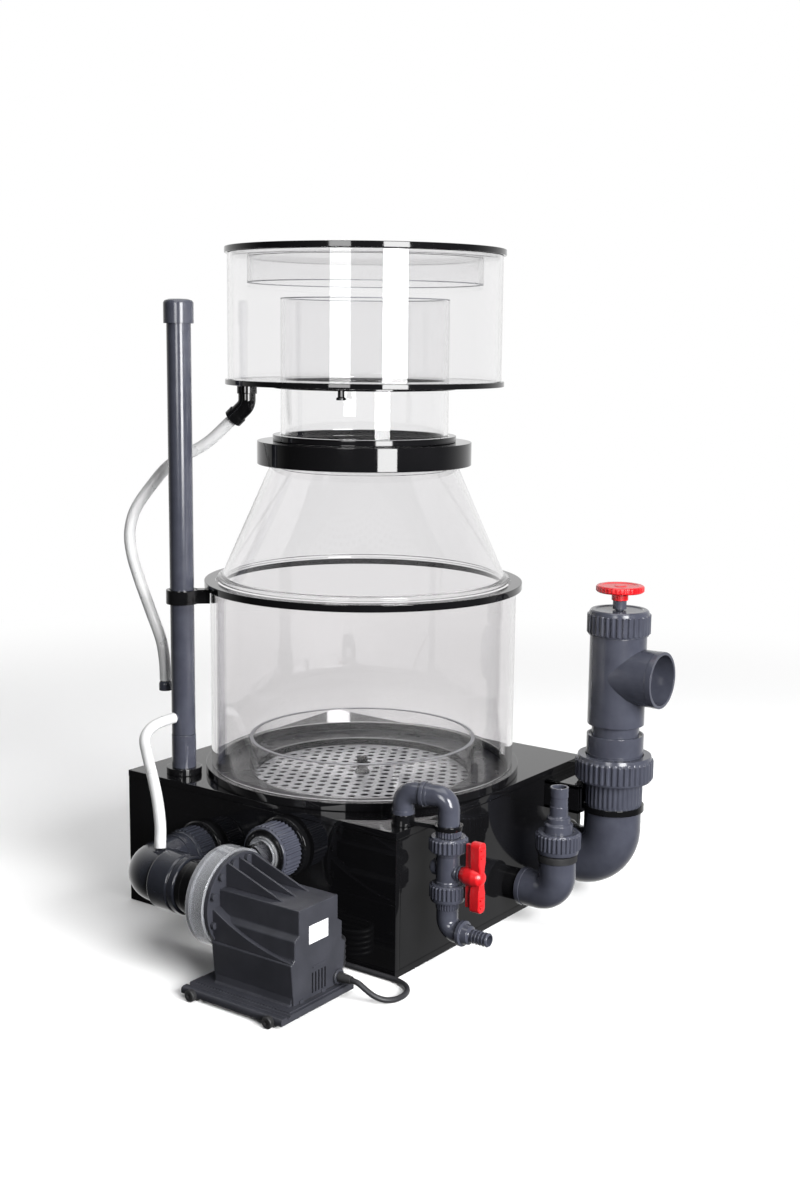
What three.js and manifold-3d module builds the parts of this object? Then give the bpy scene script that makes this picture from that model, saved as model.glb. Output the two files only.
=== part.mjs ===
// A protein skimmer: a black acrylic base box carrying a clear reaction body, a lift-off collection
// cup with a lid, a recirculating pump, and feed, drain and outlet plumbing.
// Millimetres, +Z up. The origin is on the body's axis at the underside of the base.
// +X runs to the right along the pump side of the base, and +Y runs to the back.
import * as THREE from 'three';
import { mergeVertices } from 'three/addons/utils/BufferGeometryUtils.js';
import Module from 'manifold-3d';

const wasm = await Module();
wasm.setup();

// ---- Driving dimensions ----
const GAP = 0.3;
const BODY_SIDES = 32;
const PIPE_SIDES = 16;
const SMALL_SIDES = 12;
const HOSE_SIDES = 10;
const CORD_SIDES = 8;

const base = { left: -230, right: 207, front: -206.5, back: 230, height: 178.4, wall: 9 };
const baseMid = { x: (base.left + base.right) / 2, y: (base.front + base.back) / 2 };
const plateBottom = base.height - base.wall;
const body = { radius: 200, wall: 5.5, bottom: base.height + GAP, flangeRadius: 207.5, tubeTop: 422.7 };
const cone = { bottom: 432.3, shoulder: 438, neckBottom: 583, neckTop: 599.7, neckRadius: 120, wall: 5 };
const neck = { radius: 108, wall: 5, bottom: 575, top: 792 };
const collar = { radius: 138.5, bottom: 582.5, top: 612, lip: 110.5 };
const cup = { radius: 174.9, wall: 4.9, floorBottom: 683.3, floorTop: 690, rimRadius: 178.7, top: 846.6 };
const lid = { bottom: 846.9, top: 854.3, opening: 150, skirtRadius: 148, skirtBottom: 811 };
const diffuser = { radius: 152, thickness: 5, ringRadius: 149.7, ringTop: 222.4, holePitch: 50, rows: 2 };

const riser = { x: -164, y: -170, radius: 15.4, bore: 12.6, socketTop: 231, capBottom: 758.6, capTop: 789.1 };
const clip = { bottom: 403.5, top: 421.8, outer: 20.5, inner: 15.9, width: 16 };

const drain = { x: 191.8, y: -171.8, turn: THREE.MathUtils.degToRad(11.7), reach: 58, radius: 13.1, bore: 9.5 };
const drainTop = 218.8;
const valve = { x: 248.6, y: -160, axis: 130, bodyRadius: 14.95, ball: 11.6, seat: 12.4, stem: 4.3 };
const lever = { near: 33.4, far: 49.4, bottom: 88, top: 173, width: 17, hub: 11 };

const feed = { x: 276.3, y: 47.5, radius: 23.7, bore: 16, axis: 47, elbowTop: 91.7 };
const outlet = { x: 283, y: 179, radius: 37.5, bore: 28, axis: 57, teeBottom: 245.6, teeTop: 364.6, branch: 312 };
const gate = { radius: 27.4, bottom: 318, top: 352 };

const pump = { y: -315.5, z: 98 };
const volute = { front: 29.5, back: 57.2, radius: 59.4, wall: 5.4, eye: 22 };
const motor = { flange: 57.5, front: 62, rear: 179.6, mid: 1, bottom: 12.3 - pump.z, top: 120.6 - pump.z };
const suction = { x: -95, radius: 31, bore: 22, bend: 32 };
const discharge = { x: 41, z: 130, radius: 16.5, bore: 13.5 };
const pumpPlate = { left: 40, right: 190, front: -392, back: -263, bottom: 4, top: 12 };
const footXs = { left: 59, right: 174 };
const portFlange = { radius: 38, depth: 9.5 };
const nutFront = -249;

const cord = { radius: 3.4, exitX: 199.7, exitY: -280.3, exitZ: 22.4 };
const hank = { left: 42, right: 124, y: -234.5, bend: 22, height: 38 };

// ---- Materials ----
function material(color, roughness, metalness = 0, opacity = 1) {
  return new THREE.MeshStandardMaterial({ color, roughness, metalness, opacity, transparent: opacity < 1 });
}
const blackAcrylic = material(0x0c0c0e, 0.08);
const clearAcrylic = material(0xe8eef0, 0.05, 0, 0.3);
const greyPvc = material(0x565b64, 0.4);
const pumpPlastic = material(0x6d7078, 0.45);
const redPlastic = material(0xc81e28, 0.35);
const rubber = material(0x17171a, 0.7);
const silicone = material(0xd9dcde, 0.4, 0, 0.6);
const cordGrey = material(0x4a4c50, 0.6);

// ---- Solids ----
function signedVolume(position, index) {
  const a = new THREE.Vector3();
  const b = new THREE.Vector3();
  const c = new THREE.Vector3();
  let volume = 0;
  for (let i = 0; i < index.length; i += 3) {
    a.fromBufferAttribute(position, index[i]);
    b.fromBufferAttribute(position, index[i + 1]);
    c.fromBufferAttribute(position, index[i + 2]);
    volume += a.dot(b.cross(c)) / 6;
  }
  return volume;
}

// A closed, outward-facing copy of a geometry, with shared vertices and no empty triangles.
function closed(geometry) {
  const bare = geometry.clone();
  bare.deleteAttribute('normal');
  bare.deleteAttribute('uv');
  const merged = mergeVertices(bare, 1e-3);
  const all = merged.index.array;
  const kept = [];
  for (let i = 0; i < all.length; i += 3) {
    const [p, q, r] = [all[i], all[i + 1], all[i + 2]];
    if (p !== q && q !== r && r !== p) kept.push(p, q, r);
  }
  if (signedVolume(merged.getAttribute('position'), kept) < 0) kept.reverse();
  merged.setIndex(kept);
  return merged;
}

function toManifold(geometry) {
  const merged = closed(geometry);
  const vertProperties = Float32Array.from(merged.getAttribute('position').array);
  const triVerts = Uint32Array.from(merged.index.array);
  return new wasm.Manifold(new wasm.Mesh({ numProp: 3, vertProperties, triVerts }));
}

function toGeometry(manifold) {
  const mesh = manifold.getMesh();
  const geometry = new THREE.BufferGeometry();
  geometry.setAttribute('position', new THREE.BufferAttribute(mesh.vertProperties, 3));
  geometry.setIndex(new THREE.BufferAttribute(mesh.triVerts, 1));
  return geometry;
}

function cut(blank, ...tools) {
  return toGeometry(tools.reduce((left, tool) => left.subtract(toManifold(tool)), toManifold(blank)));
}

function join(first, ...others) {
  return toGeometry(others.reduce((sum, other) => sum.add(toManifold(other)), toManifold(first)));
}

// A solid of revolution about +Z from [radius, z] points.
function turned(profile, sides = PIPE_SIDES) {
  const points = profile.map(([radius, z]) => new THREE.Vector2(radius, z));
  if (profile[0][0] > 0) points.push(points[0].clone());
  return new THREE.LatheGeometry(points, sides).rotateX(Math.PI / 2);
}

function ring(outer, inner, bottom, top, sides = PIPE_SIDES) {
  return turned([[inner, bottom], [outer, bottom], [outer, top], [inner, top]], sides);
}

function disc(radius, bottom, top, sides = PIPE_SIDES) {
  return turned([[0, bottom], [radius, bottom], [radius, top], [0, top]], sides);
}

function block(x0, x1, y0, y1, z0, z1) {
  const geometry = new THREE.BoxGeometry(x1 - x0, y1 - y0, z1 - z0);
  return geometry.translate((x0 + x1) / 2, (y0 + y1) / 2, (z0 + z1) / 2);
}

const alongX = (geometry) => geometry.rotateY(Math.PI / 2);
const alongY = (geometry) => geometry.rotateX(-Math.PI / 2);
const point = (x, y, z) => new THREE.Vector3(x, y, z);

// A path with two straight legs and a round corner, sampled once per leg and evenly round the arc.
class ElbowPath extends THREE.Curve {
  constructor(from, corner, to, bend, arcSteps) {
    super();
    this.from = from;
    this.to = to;
    this.bend = bend;
    this.steps = arcSteps + 2;
    this.inward = corner.clone().sub(from).normalize();
    const outward = to.clone().sub(corner).normalize();
    this.angle = this.inward.angleTo(outward);
    this.side = outward.addScaledVector(this.inward, -Math.cos(this.angle)).normalize();
    this.arcStart = corner.clone().addScaledVector(this.inward, -bend * Math.tan(this.angle / 2));
  }

  arcAngle(u) {
    const along = (u * this.steps - 1) / (this.steps - 2);
    return this.angle * THREE.MathUtils.clamp(along, 0, 1);
  }

  getPointAt(u, target = new THREE.Vector3()) {
    if (u <= 0) return target.copy(this.from);
    if (u >= 1) return target.copy(this.to);
    const angle = this.arcAngle(u);
    target.copy(this.arcStart).addScaledVector(this.inward, this.bend * Math.sin(angle));
    return target.addScaledVector(this.side, this.bend * (1 - Math.cos(angle)));
  }

  getPoint(u, target) {
    return this.getPointAt(u, target);
  }

  getTangentAt(u, target = new THREE.Vector3()) {
    const angle = this.arcAngle(u);
    target.copy(this.inward).multiplyScalar(Math.cos(angle));
    return target.addScaledVector(this.side, Math.sin(angle));
  }
}

function round(radius) {
  return new THREE.Shape().absarc(0, 0, radius, 0, 2 * Math.PI, false);
}

function sweep(path, radius, steps, sides) {
  const options = { steps, curveSegments: sides / 2, bevelEnabled: false, extrudePath: path };
  return new THREE.ExtrudeGeometry(round(radius), options);
}

// A bent pipe with a bore that opens at both ends.
function bentPipe(from, corner, to, bend, outer, bore, sides = PIPE_SIDES, arcSteps = 4) {
  const past = 1;
  const before = from.clone().addScaledVector(corner.clone().sub(from).normalize(), -past);
  const after = to.clone().addScaledVector(to.clone().sub(corner).normalize(), past);
  const outside = new ElbowPath(from, corner, to, bend, arcSteps);
  const inside = new ElbowPath(before, corner, after, bend, arcSteps);
  return cut(sweep(outside, outer, outside.steps, sides), sweep(inside, bore, inside.steps, sides));
}

// An outline of [y, z] points, extruded along +X.
function slabAlongX(outline, x0, x1) {
  const shape = outline instanceof THREE.Shape ? outline : polygon(outline);
  const geometry = new THREE.ExtrudeGeometry(shape, { depth: x1 - x0, bevelEnabled: false, curveSegments: 6 });
  const turn = new THREE.Matrix4().makeBasis(point(0, 1, 0), point(0, 0, 1), point(1, 0, 0));
  return geometry.applyMatrix4(turn).translate(x0, 0, 0);
}

// An outline of [x, z] points, extruded along +Y.
function slabAlongY(shape, y0, y1) {
  const geometry = new THREE.ExtrudeGeometry(shape, { depth: y1 - y0, bevelEnabled: false, curveSegments: 6 });
  return geometry.rotateX(Math.PI / 2).translate(0, y1, 0);
}

function polygon(outline) {
  return new THREE.Shape(outline.map(([a, b]) => new THREE.Vector2(a, b)));
}

// ---- Groups ----
const skimmer = new THREE.Group();
const riserGroup = new THREE.Group();
const drainGroup = new THREE.Group();
const valveGroup = new THREE.Group();
const feedGroup = new THREE.Group();
const outletGroup = new THREE.Group();
const pumpGroup = new THREE.Group();
riserGroup.position.set(riser.x, riser.y, 0);
drainGroup.position.set(drain.x, drain.y, 0);
drainGroup.rotation.z = drain.turn;
valveGroup.position.set(valve.x, valve.y, 0);
feedGroup.position.set(feed.x, feed.y, 0);
outletGroup.position.set(outlet.x, outlet.y, 0);
pumpGroup.position.set(0, pump.y, pump.z);
skimmer.add(riserGroup, drainGroup, valveGroup, feedGroup, outletGroup, pumpGroup);

function add(group, name, geometry, look) {
  const mesh = new THREE.Mesh(closed(geometry), look);
  mesh.name = name;
  group.add(mesh);
}

// ---- Base ----
// A pipe port in a wall: a round flange outside the wall, at the given place along +Y.
function frontPort(x, z, bore) {
  const depth = portFlange.depth;
  const flange = alongY(disc(portFlange.radius, 0, depth + 1)).translate(x, base.front - depth, z);
  const hole = alongY(disc(bore, 0, 40)).translate(x, base.front - depth - 5, z);
  return { flange, hole };
}

function rightPort(y, z, radius, depth, bore) {
  const flange = alongX(disc(radius, -1, depth)).translate(base.right, y, z);
  const hole = alongX(disc(bore, -20, depth + 5)).translate(base.right, y, z);
  return { flange, hole };
}

function baseShell() {
  const top = plateBottom - GAP;
  const box = block(base.left, base.right, base.front, base.back, 0, top);
  const inside = block(base.left + base.wall, base.right - base.wall,
    base.front + base.wall, base.back - base.wall, base.wall, top + 1);
  const feedStub = 19;
  const outletStub = 8;
  const ports = [
    frontPort(suction.x, pump.z, suction.bore),
    frontPort(discharge.x, discharge.z, discharge.bore),
    rightPort(feed.y, feed.axis, 20.7, feedStub, feed.bore),
    rightPort(outlet.y, outlet.axis, 43, outletStub, outlet.bore),
  ];
  const outside = join(box, ...ports.map((port) => port.flange));
  return cut(outside, inside, ...ports.map((port) => port.hole));
}

function baseTopPlate() {
  const opening = 143;
  const plate = block(base.left, base.right, base.front, base.back, plateBottom, base.height);
  const bodyHole = disc(opening, plateBottom - 1, base.height + 1, BODY_SIDES);
  const drainHole = disc(6, plateBottom - 1, base.height + 1, SMALL_SIDES).translate(drain.x, drain.y, 0);
  return cut(plate, bodyHole, drainHole);
}

// The hood on the right of the base that steadies the outlet pipe with a ring.
function outletShelf() {
  const shelf = { left: base.right + GAP, right: 259, front: 128.2, back: 230, bottom: 128.8, top: 166, wall: 4.5 };
  const hood = block(shelf.left, shelf.right, shelf.front, shelf.back, shelf.bottom, shelf.top);
  const hollow = block(shelf.left + shelf.wall, shelf.right + 1, shelf.front + shelf.wall,
    shelf.back - shelf.wall, shelf.bottom + shelf.wall, shelf.top - shelf.wall);
  const clearance = disc(45, shelf.bottom + shelf.wall, shelf.top + 1).translate(outlet.x, outlet.y, 0);
  const clampRing = disc(41, shelf.bottom, shelf.bottom + 8).translate(outlet.x, outlet.y, 0);
  const pipeHole = disc(outlet.radius + GAP, shelf.bottom - 1, shelf.top + 1).translate(outlet.x, outlet.y, 0);
  return cut(join(cut(hood, hollow, clearance), clampRing), pipeHole);
}

// ---- Body ----
function bodyFlange() {
  return ring(body.flangeRadius, body.radius - body.wall, body.bottom, 189.3, BODY_SIDES);
}

function bodyTube() {
  return ring(body.radius, body.radius - body.wall, 189.6, body.tubeTop, BODY_SIDES);
}

// The top flange carries an arm with a ring that holds the riser pipe.
function bodyTopFlange() {
  const flange = ring(body.flangeRadius, 192, body.tubeTop + GAP, cone.bottom - GAP, BODY_SIDES);
  const reach = Math.hypot(riser.x, riser.y);
  const angle = Math.atan2(riser.y, riser.x);
  const root = body.radius + 0.6;
  const arm = block(root, reach - clip.inner, -clip.width / 2, clip.width / 2, clip.bottom, clip.top);
  const foot = block(root, body.flangeRadius - 0.5, -clip.width / 2, clip.width / 2, clip.bottom, body.tubeTop + 2);
  const eye = disc(clip.outer, clip.bottom, clip.top).translate(reach, 0, 0);
  const bracket = join(arm, foot, eye);
  const hole = disc(clip.inner, clip.bottom - 1, clip.top + 1).translate(reach, 0, 0);
  return join(flange, cut(bracket, hole).rotateZ(angle));
}

function bodyCone() {
  const { bottom, shoulder, neckBottom, neckTop, neckRadius, wall } = cone;
  const foot = 190;
  const wide = 185;
  const narrow = 124.5;
  const lip = collar.lip;
  return turned([
    [wide - wall, bottom], [foot, bottom], [foot, shoulder], [wide, shoulder], [narrow, neckBottom - 9],
    [neckRadius, neckBottom], [neckRadius, neckTop], [lip, neckTop], [lip, neckTop - 3],
    [neckRadius - wall, neckTop - 6], [neckRadius - wall, neckBottom], [narrow - wall, neckBottom - 10],
    [wide - wall, shoulder],
  ], BODY_SIDES);
}

function neckCollar() {
  const bore = cone.neckRadius + 0.6;
  return turned([
    [bore, collar.bottom], [collar.radius, collar.bottom], [collar.radius, collar.top],
    [collar.lip, collar.top], [collar.lip, 606.4], [bore, 606.4],
  ], BODY_SIDES);
}

function neckOring() {
  const tubeRadius = 2.9;
  const middle = neck.radius + 0.5 + tubeRadius;
  const torus = new THREE.TorusGeometry(middle, tubeRadius, 6, BODY_SIDES);
  return torus.rotateZ(Math.PI / 2).translate(0, 0, (cone.neckTop + 606.4) / 2);
}

// The perforated plate under the body, with a wing knob in the middle to lift it out.
function diffuserPlate() {
  const top = plateBottom - GAP;
  const bottom = top - diffuser.thickness;
  const plate = disc(diffuser.radius, bottom, top, BODY_SIDES);
  const holes = [];
  const rowHeight = diffuser.holePitch * Math.sin(Math.PI / 3);
  for (let row = -diffuser.rows; row <= diffuser.rows; row += 1) {
    const count = 2 * diffuser.rows + 1 - Math.abs(row);
    for (let i = 0; i < count; i += 1) {
      const x = (i - (count - 1) / 2) * diffuser.holePitch;
      if (x !== 0 || row !== 0) holes.push(disc(3.4, bottom - 1, top + 1, 6).translate(x, row * rowHeight, 0));
    }
  }
  const hub = disc(8, top - 1, top + 6, SMALL_SIDES);
  const wing = block(-8, 8, -2.5, 2.5, top, 186);
  return join(cut(plate, ...holes), hub, wing);
}

function diffuserRing() {
  return ring(diffuser.ringRadius, diffuser.ringRadius - 4.7, body.bottom, diffuser.ringTop, BODY_SIDES);
}

add(skimmer, 'base_shell', baseShell(), blackAcrylic);
add(skimmer, 'base_top_plate', baseTopPlate(), blackAcrylic);
add(skimmer, 'outlet_shelf', outletShelf(), blackAcrylic);
add(skimmer, 'body_flange', bodyFlange(), blackAcrylic);
add(skimmer, 'body_tube', bodyTube(), clearAcrylic);
add(skimmer, 'body_top_flange', bodyTopFlange(), blackAcrylic);
add(skimmer, 'body_cone', bodyCone(), clearAcrylic);
add(skimmer, 'neck_collar', neckCollar(), blackAcrylic);
add(skimmer, 'neck_oring', neckOring(), rubber);
add(skimmer, 'diffuser_plate', diffuserPlate(), pumpPlastic);
add(skimmer, 'diffuser_ring', diffuserRing(), clearAcrylic);

// ---- Collection cup and lid ----
const cupDrain = { x: -120, y: -92, radius: 12.5, bore: 8 };
const hoseStart = point(-139.3, -98.2, 638);

function neckStopRing() {
  return ring(118.4, neck.radius + GAP, collar.top + GAP, 620, BODY_SIDES);
}

function cupFloor() {
  const inner = neck.radius + GAP;
  const floor = turned([
    [inner, 679], [118, 679], [118, cup.floorBottom], [cup.rimRadius, cup.floorBottom],
    [cup.rimRadius, cup.floorTop], [inner, cup.floorTop],
  ], BODY_SIDES);
  const drainHole = disc(cupDrain.bore, 670, 700, SMALL_SIDES).translate(cupDrain.x, cupDrain.y, 0);
  const peg = turned([[0, 669], [7, 669], [7, 673.5], [5, 673.5], [5, 684], [0, 684]], SMALL_SIDES);
  return join(cut(floor, drainHole), peg.translate(57, -122, 0));
}

function cupDrainElbow() {
  const top = point(cupDrain.x, cupDrain.y, cup.floorBottom - GAP);
  const corner = point(cupDrain.x, cupDrain.y, 657);
  const end = hoseStart.clone().addScaledVector(corner.clone().sub(hoseStart).normalize(), GAP);
  return bentPipe(top, corner, end, 16, cupDrain.radius, cupDrain.bore, SMALL_SIDES, 3);
}

// The hose hangs from the cup's elbow, out round the riser and down beside the body.
function cupDrainHose() {
  const route = new THREE.CatmullRomCurve3([
    hoseStart, point(-169.5, -115.1, 606.6), point(-212.7, -139, 577.4), point(-231.4, -152.5, 551.7),
    point(-247.4, -169, 517.8), point(-250.6, -176.2, 489.6), point(-245.9, -177.8, 461.6),
    point(-235.4, -175.1, 427.8), point(-221.5, -170, 388.4), point(-207.7, -164.9, 348.7),
    point(-202.6, -164.4, 322), point(-201.1, -165, 308), point(-200.9, -165, 296),
  ]);
  return sweep(route, 7.5, 20, HOSE_SIDES);
}

function hoseEndFitting() {
  const fitting = turned([[4, 283], [8.5, 283], [8.5, 292], [7, 295.3], [4, 295.3]], SMALL_SIDES);
  return fitting.translate(-200.9, -165, 0);
}

function lidPlate() {
  const edge = cup.radius - cup.wall - 0.6;
  const under = lid.bottom - GAP;
  const skirt = lid.skirtRadius;
  return turned([
    [0, under - 4.5], [skirt - 2, under - 4.5], [skirt - 2, lid.skirtBottom], [skirt + 2, lid.skirtBottom],
    [skirt + 2, under - 4.5], [edge, under - 4.5], [edge, under], [0, under],
  ], BODY_SIDES);
}

add(skimmer, 'neck_tube', ring(neck.radius, neck.radius - neck.wall, neck.bottom, neck.top, BODY_SIDES), clearAcrylic);
add(skimmer, 'neck_stop_ring', neckStopRing(), blackAcrylic);
add(skimmer, 'cup_floor', cupFloor(), blackAcrylic);
add(skimmer, 'cup_wall', ring(cup.radius, cup.radius - cup.wall, cup.floorTop + GAP, cup.top, BODY_SIDES), clearAcrylic);
add(skimmer, 'cup_drain_elbow', cupDrainElbow(), blackAcrylic);
add(skimmer, 'cup_drain_hose', cupDrainHose(), silicone);
add(skimmer, 'hose_end_fitting', hoseEndFitting(), greyPvc);
add(skimmer, 'lid_ring', ring(cup.rimRadius, lid.opening, lid.bottom, lid.top, BODY_SIDES), blackAcrylic);
add(skimmer, 'lid_plate', lidPlate(), clearAcrylic);

// ---- Air riser ----
function riserSocket() {
  return turned([
    [0, body.bottom], [23, body.bottom], [23, 187.5], [15.8, 188], [15.8, riser.socketTop - GAP / 2],
    [riser.bore, riser.socketTop - GAP / 2], [riser.bore, 192], [0, 192],
  ]);
}

function riserPipe() {
  const pipe = ring(riser.radius, riser.bore, riser.socketTop + GAP / 2, 780);
  const barb = alongY(disc(6, -17.5, -14, SMALL_SIDES)).translate(0, 0, 255);
  const airway = alongY(disc(2.5, -20, -10, 8)).translate(0, 0, 255);
  return cut(join(pipe, barb), airway);
}

function riserCap() {
  return turned([
    [16.2, riser.capBottom], [19, riser.capBottom], [19, riser.capTop - 2], [17, riser.capTop],
    [0, riser.capTop], [0, riser.capTop - 4], [16.2, riser.capTop - 4],
  ]);
}

function airHose() {
  const route = new THREE.CatmullRomCurve3([
    point(-164, -188.4, 255), point(-164.2, -196, 255), point(-169.5, -220.3, 249.5),
    point(-164.5, -239.9, 239.7), point(-143.7, -256.9, 222.8), point(-119.6, -271.6, 200.7),
    point(-99.6, -284.3, 177.9), point(-82.5, -297.5, 154), point(-71, -309.5, 140), point(-69.5, -311.3, 131.8),
  ]);
  return sweep(route, 7, 14, HOSE_SIDES);
}

add(riserGroup, 'riser_socket', riserSocket(), greyPvc);
add(riserGroup, 'riser_pipe', riserPipe(), greyPvc);
add(riserGroup, 'riser_cap', riserCap(), greyPvc);
add(skimmer, 'air_hose', airHose(), silicone);

// ---- Drain line and ball valve ----
function drainCollar() {
  const collarRing = disc(13.65, body.bottom, 192, SMALL_SIDES);
  const strap = block(8, 46, -8, 8, 180.6, 186);
  const eye = disc(17, 180.6, 186).translate(drain.reach, 0, 0);
  const inlet = disc(6, body.bottom - 1, 193, SMALL_SIDES);
  const eyeHole = disc(13.3, 180, 187).translate(drain.reach, 0, 0);
  return cut(join(collarRing, strap, eye), inlet, eyeHole);
}

function drainInnerElbow() {
  const half = drain.reach / 2 - GAP / 2;
  const pipe = bentPipe(point(0, 0, 192 + GAP), point(0, 0, drainTop), point(half, 0, drainTop),
    15, drain.radius, drain.bore, SMALL_SIDES);
  const rim = alongX(ring(15, drain.radius - 1, half - 5, half, SMALL_SIDES)).translate(0, 0, drainTop);
  return join(pipe, rim);
}

function drainOuterElbow() {
  const half = drain.reach / 2 + GAP / 2;
  const pipe = bentPipe(point(half, 0, drainTop), point(drain.reach, 0, drainTop),
    point(drain.reach, 0, 186.4), 15, drain.radius, drain.bore, SMALL_SIDES);
  const tail = turned([
    [drain.bore, 158], [12.7, 158], [12.7, 172.8], [15, 172.8], [15, 180], [12.7, 180], [12.7, 187],
    [drain.bore, 187],
  ], SMALL_SIDES).translate(drain.reach, 0, 0);
  return join(pipe, tail);
}

function unionNut(radius, bottom, top, threadRadius, threadBottom, threadTop, tailRadius) {
  const nut = ring(radius, tailRadius, bottom, top, 20);
  return cut(nut, disc(threadRadius, threadBottom, threadTop, 20));
}

function drainValveBody() {
  const barrel = disc(valve.bodyRadius, 111, 157.7);
  const blankBoss = alongX(disc(10, -22, 0, SMALL_SIDES)).translate(0, 0, valve.axis + 2);
  const bonnet = alongX(disc(9.5, 0, 19.2, SMALL_SIDES)).translate(0, 0, valve.axis);
  const bore = disc(drain.bore, 110, 159, SMALL_SIDES);
  const stemHole = alongX(disc(valve.stem + 0.7, 0, 21, SMALL_SIDES)).translate(0, 0, valve.axis);
  const seat = new THREE.SphereGeometry(valve.seat, SMALL_SIDES, 8).translate(0, 0, valve.axis);
  return cut(join(barrel, blankBoss, bonnet), bore, stemHole, seat);
}

function drainBall() {
  const ball = new THREE.SphereGeometry(valve.ball, SMALL_SIDES, 8);
  const stem = alongX(disc(valve.stem, 8, 19.2, SMALL_SIDES));
  return join(cut(ball, disc(8, -15, 15, SMALL_SIDES)), stem).translate(0, 0, valve.axis);
}

// The wing lever stands upright when the valve is open.
function drainLever() {
  const half = lever.width / 2;
  const reachUp = lever.top - valve.axis;
  const reachDown = valve.axis - lever.bottom;
  const outline = new THREE.Shape();
  outline.moveTo(-half + 1.5, -6);
  outline.lineTo(-half, 6 - reachDown);
  outline.quadraticCurveTo(-half + 1, -reachDown, 0, -reachDown);
  outline.quadraticCurveTo(half - 1, -reachDown, half, 6 - reachDown);
  outline.lineTo(half - 1.5, -6);
  outline.lineTo(half - 1.5, 6);
  outline.lineTo(half, reachUp - 6);
  outline.quadraticCurveTo(half - 1, reachUp, 0, reachUp);
  outline.quadraticCurveTo(-half + 1, reachUp, -half, reachUp - 6);
  outline.lineTo(-half + 1.5, 6);
  const wing = slabAlongX(outline, lever.near, lever.far);
  const hub = alongX(turned([
    [0, 19.5], [8.5, 19.5], [lever.hub, lever.near], [lever.hub, lever.far - 3], [6, lever.far], [0, lever.far],
  ], SMALL_SIDES));
  return join(wing, hub).translate(0, 0, valve.axis);
}

function drainSpout() {
  const axis = 58;
  const elbow = bentPipe(point(0, 0, 110.7), point(0, 0, axis), point(22, 0, axis),
    15, 12.9, drain.bore, SMALL_SIDES);
  const barb = alongX(turned([
    [5.8, 20], [15.3, 20], [15.3, 24.5], [11, 25], [10, 33], [8, 33.5], [8, 59.4], [5.8, 59.4],
  ], SMALL_SIDES)).translate(0, 0, axis);
  return join(elbow, barb);
}

add(drainGroup, 'drain_collar', drainCollar(), blackAcrylic);
add(drainGroup, 'drain_inner_elbow', drainInnerElbow(), greyPvc);
add(drainGroup, 'drain_outer_elbow', drainOuterElbow(), greyPvc);
add(valveGroup, 'drain_top_nut', unionNut(23.35, 154.3, 172.3, 15.9, 154, 160, 13.6), greyPvc);
add(valveGroup, 'drain_valve_body', drainValveBody(), greyPvc);
add(valveGroup, 'drain_ball', drainBall(), greyPvc);
add(valveGroup, 'drain_lever', drainLever(), redPlastic);
add(valveGroup, 'drain_bottom_nut', unionNut(22, 94.3, 115.4, 15.9, 108, 116, 13.7), greyPvc);
add(valveGroup, 'drain_spout', drainSpout(), greyPvc);

// ---- Feed line ----
function feedElbow() {
  const stubEnd = base.right + 19 + GAP - feed.x;
  return bentPipe(point(stubEnd, 0, feed.axis), point(0, 0, feed.axis), point(0, 0, feed.elbowTop),
    25, feed.radius, feed.bore);
}

function feedClamp() {
  return turned([[feed.bore, 92], [25, 92], [25, 101], [20, 101.3], [20, 118], [feed.bore, 118]]);
}

function feedBarb() {
  return turned([
    [9, 118.3], [20, 118.3], [20, 125], [18.4, 125.3], [18.4, 149], [11.7, 149.3], [11.7, 188], [9, 188],
  ]);
}

add(feedGroup, 'feed_elbow', feedElbow(), greyPvc);
add(feedGroup, 'feed_clamp', feedClamp(), rubber);
add(feedGroup, 'feed_nut', unionNut(29.2, 103, 130, 20.8, 102, 126, 19.2), greyPvc);
add(feedGroup, 'feed_barb', feedBarb(), greyPvc);

// ---- Outlet line, tee and level gate ----
function outletElbow() {
  const stubEnd = base.right + 8 + GAP - outlet.x;
  const elbow = bentPipe(point(stubEnd, 0, outlet.axis), point(0, 0, outlet.axis), point(0, 0, 137),
    46, outlet.radius, outlet.bore);
  const unionBody = turned([
    [outlet.bore, 136], [outlet.radius, 136], [outlet.radius, 137.1], [38.3, 137.5], [38.3, 169], [43, 171], [43, 184], [outlet.bore, 184],
  ]);
  return join(elbow, unionBody);
}

function outletTail() {
  return turned([
    [outlet.bore, 184.3], [43, 184.3], [43, 194.3], [outlet.radius, 194.6], [outlet.radius, 232],
    [31.2, 232.3], [31.2, 262], [outlet.bore, 262],
  ]);
}

function outletTee() {
  const upright = disc(37.2, outlet.teeBottom, outlet.teeTop);
  const branch = alongX(disc(36.9, 0, 65.7)).translate(0, 0, outlet.branch);
  const bore = disc(outlet.bore, outlet.teeBottom - 1, outlet.teeTop + 1);
  const socket = disc(31.6, outlet.teeBottom - 1, 262.4);
  const mouth = alongX(disc(32.9, 34, 67)).translate(0, 0, outlet.branch);
  const branchBore = alongX(disc(outlet.bore, 0, 36)).translate(0, 0, outlet.branch);
  return cut(join(upright, branch), bore, socket, mouth, branchBore);
}

function outletTopNut() {
  const bottom = outlet.teeTop + GAP;
  return turned([[28.3, bottom], [41.6, bottom], [41.6, 398.5], [5.7, 398.5], [5.7, 392.5], [28.3, 392.5]]);
}

// The gate is lifted by the screw, and uncovers or covers the tee's branch.
function outletGate() {
  return turned([
    [23.5, gate.bottom], [gate.radius, gate.bottom], [gate.radius, gate.top], [5.8, gate.top],
    [5.8, gate.top - 6], [23.5, gate.top - 6],
  ]);
}

function outletStem() {
  return turned([[0, 325], [5, 325], [5, 398.9], [9, 398.9], [9, 410.1], [0, 410.1]], SMALL_SIDES);
}

function outletKnob() {
  return turned([
    [0, 410.4], [10.8, 410.4], [10.8, 421], [30.5, 421], [31.5, 422.2], [31.5, 428.8], [30.5, 430], [0, 430],
  ]);
}

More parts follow.
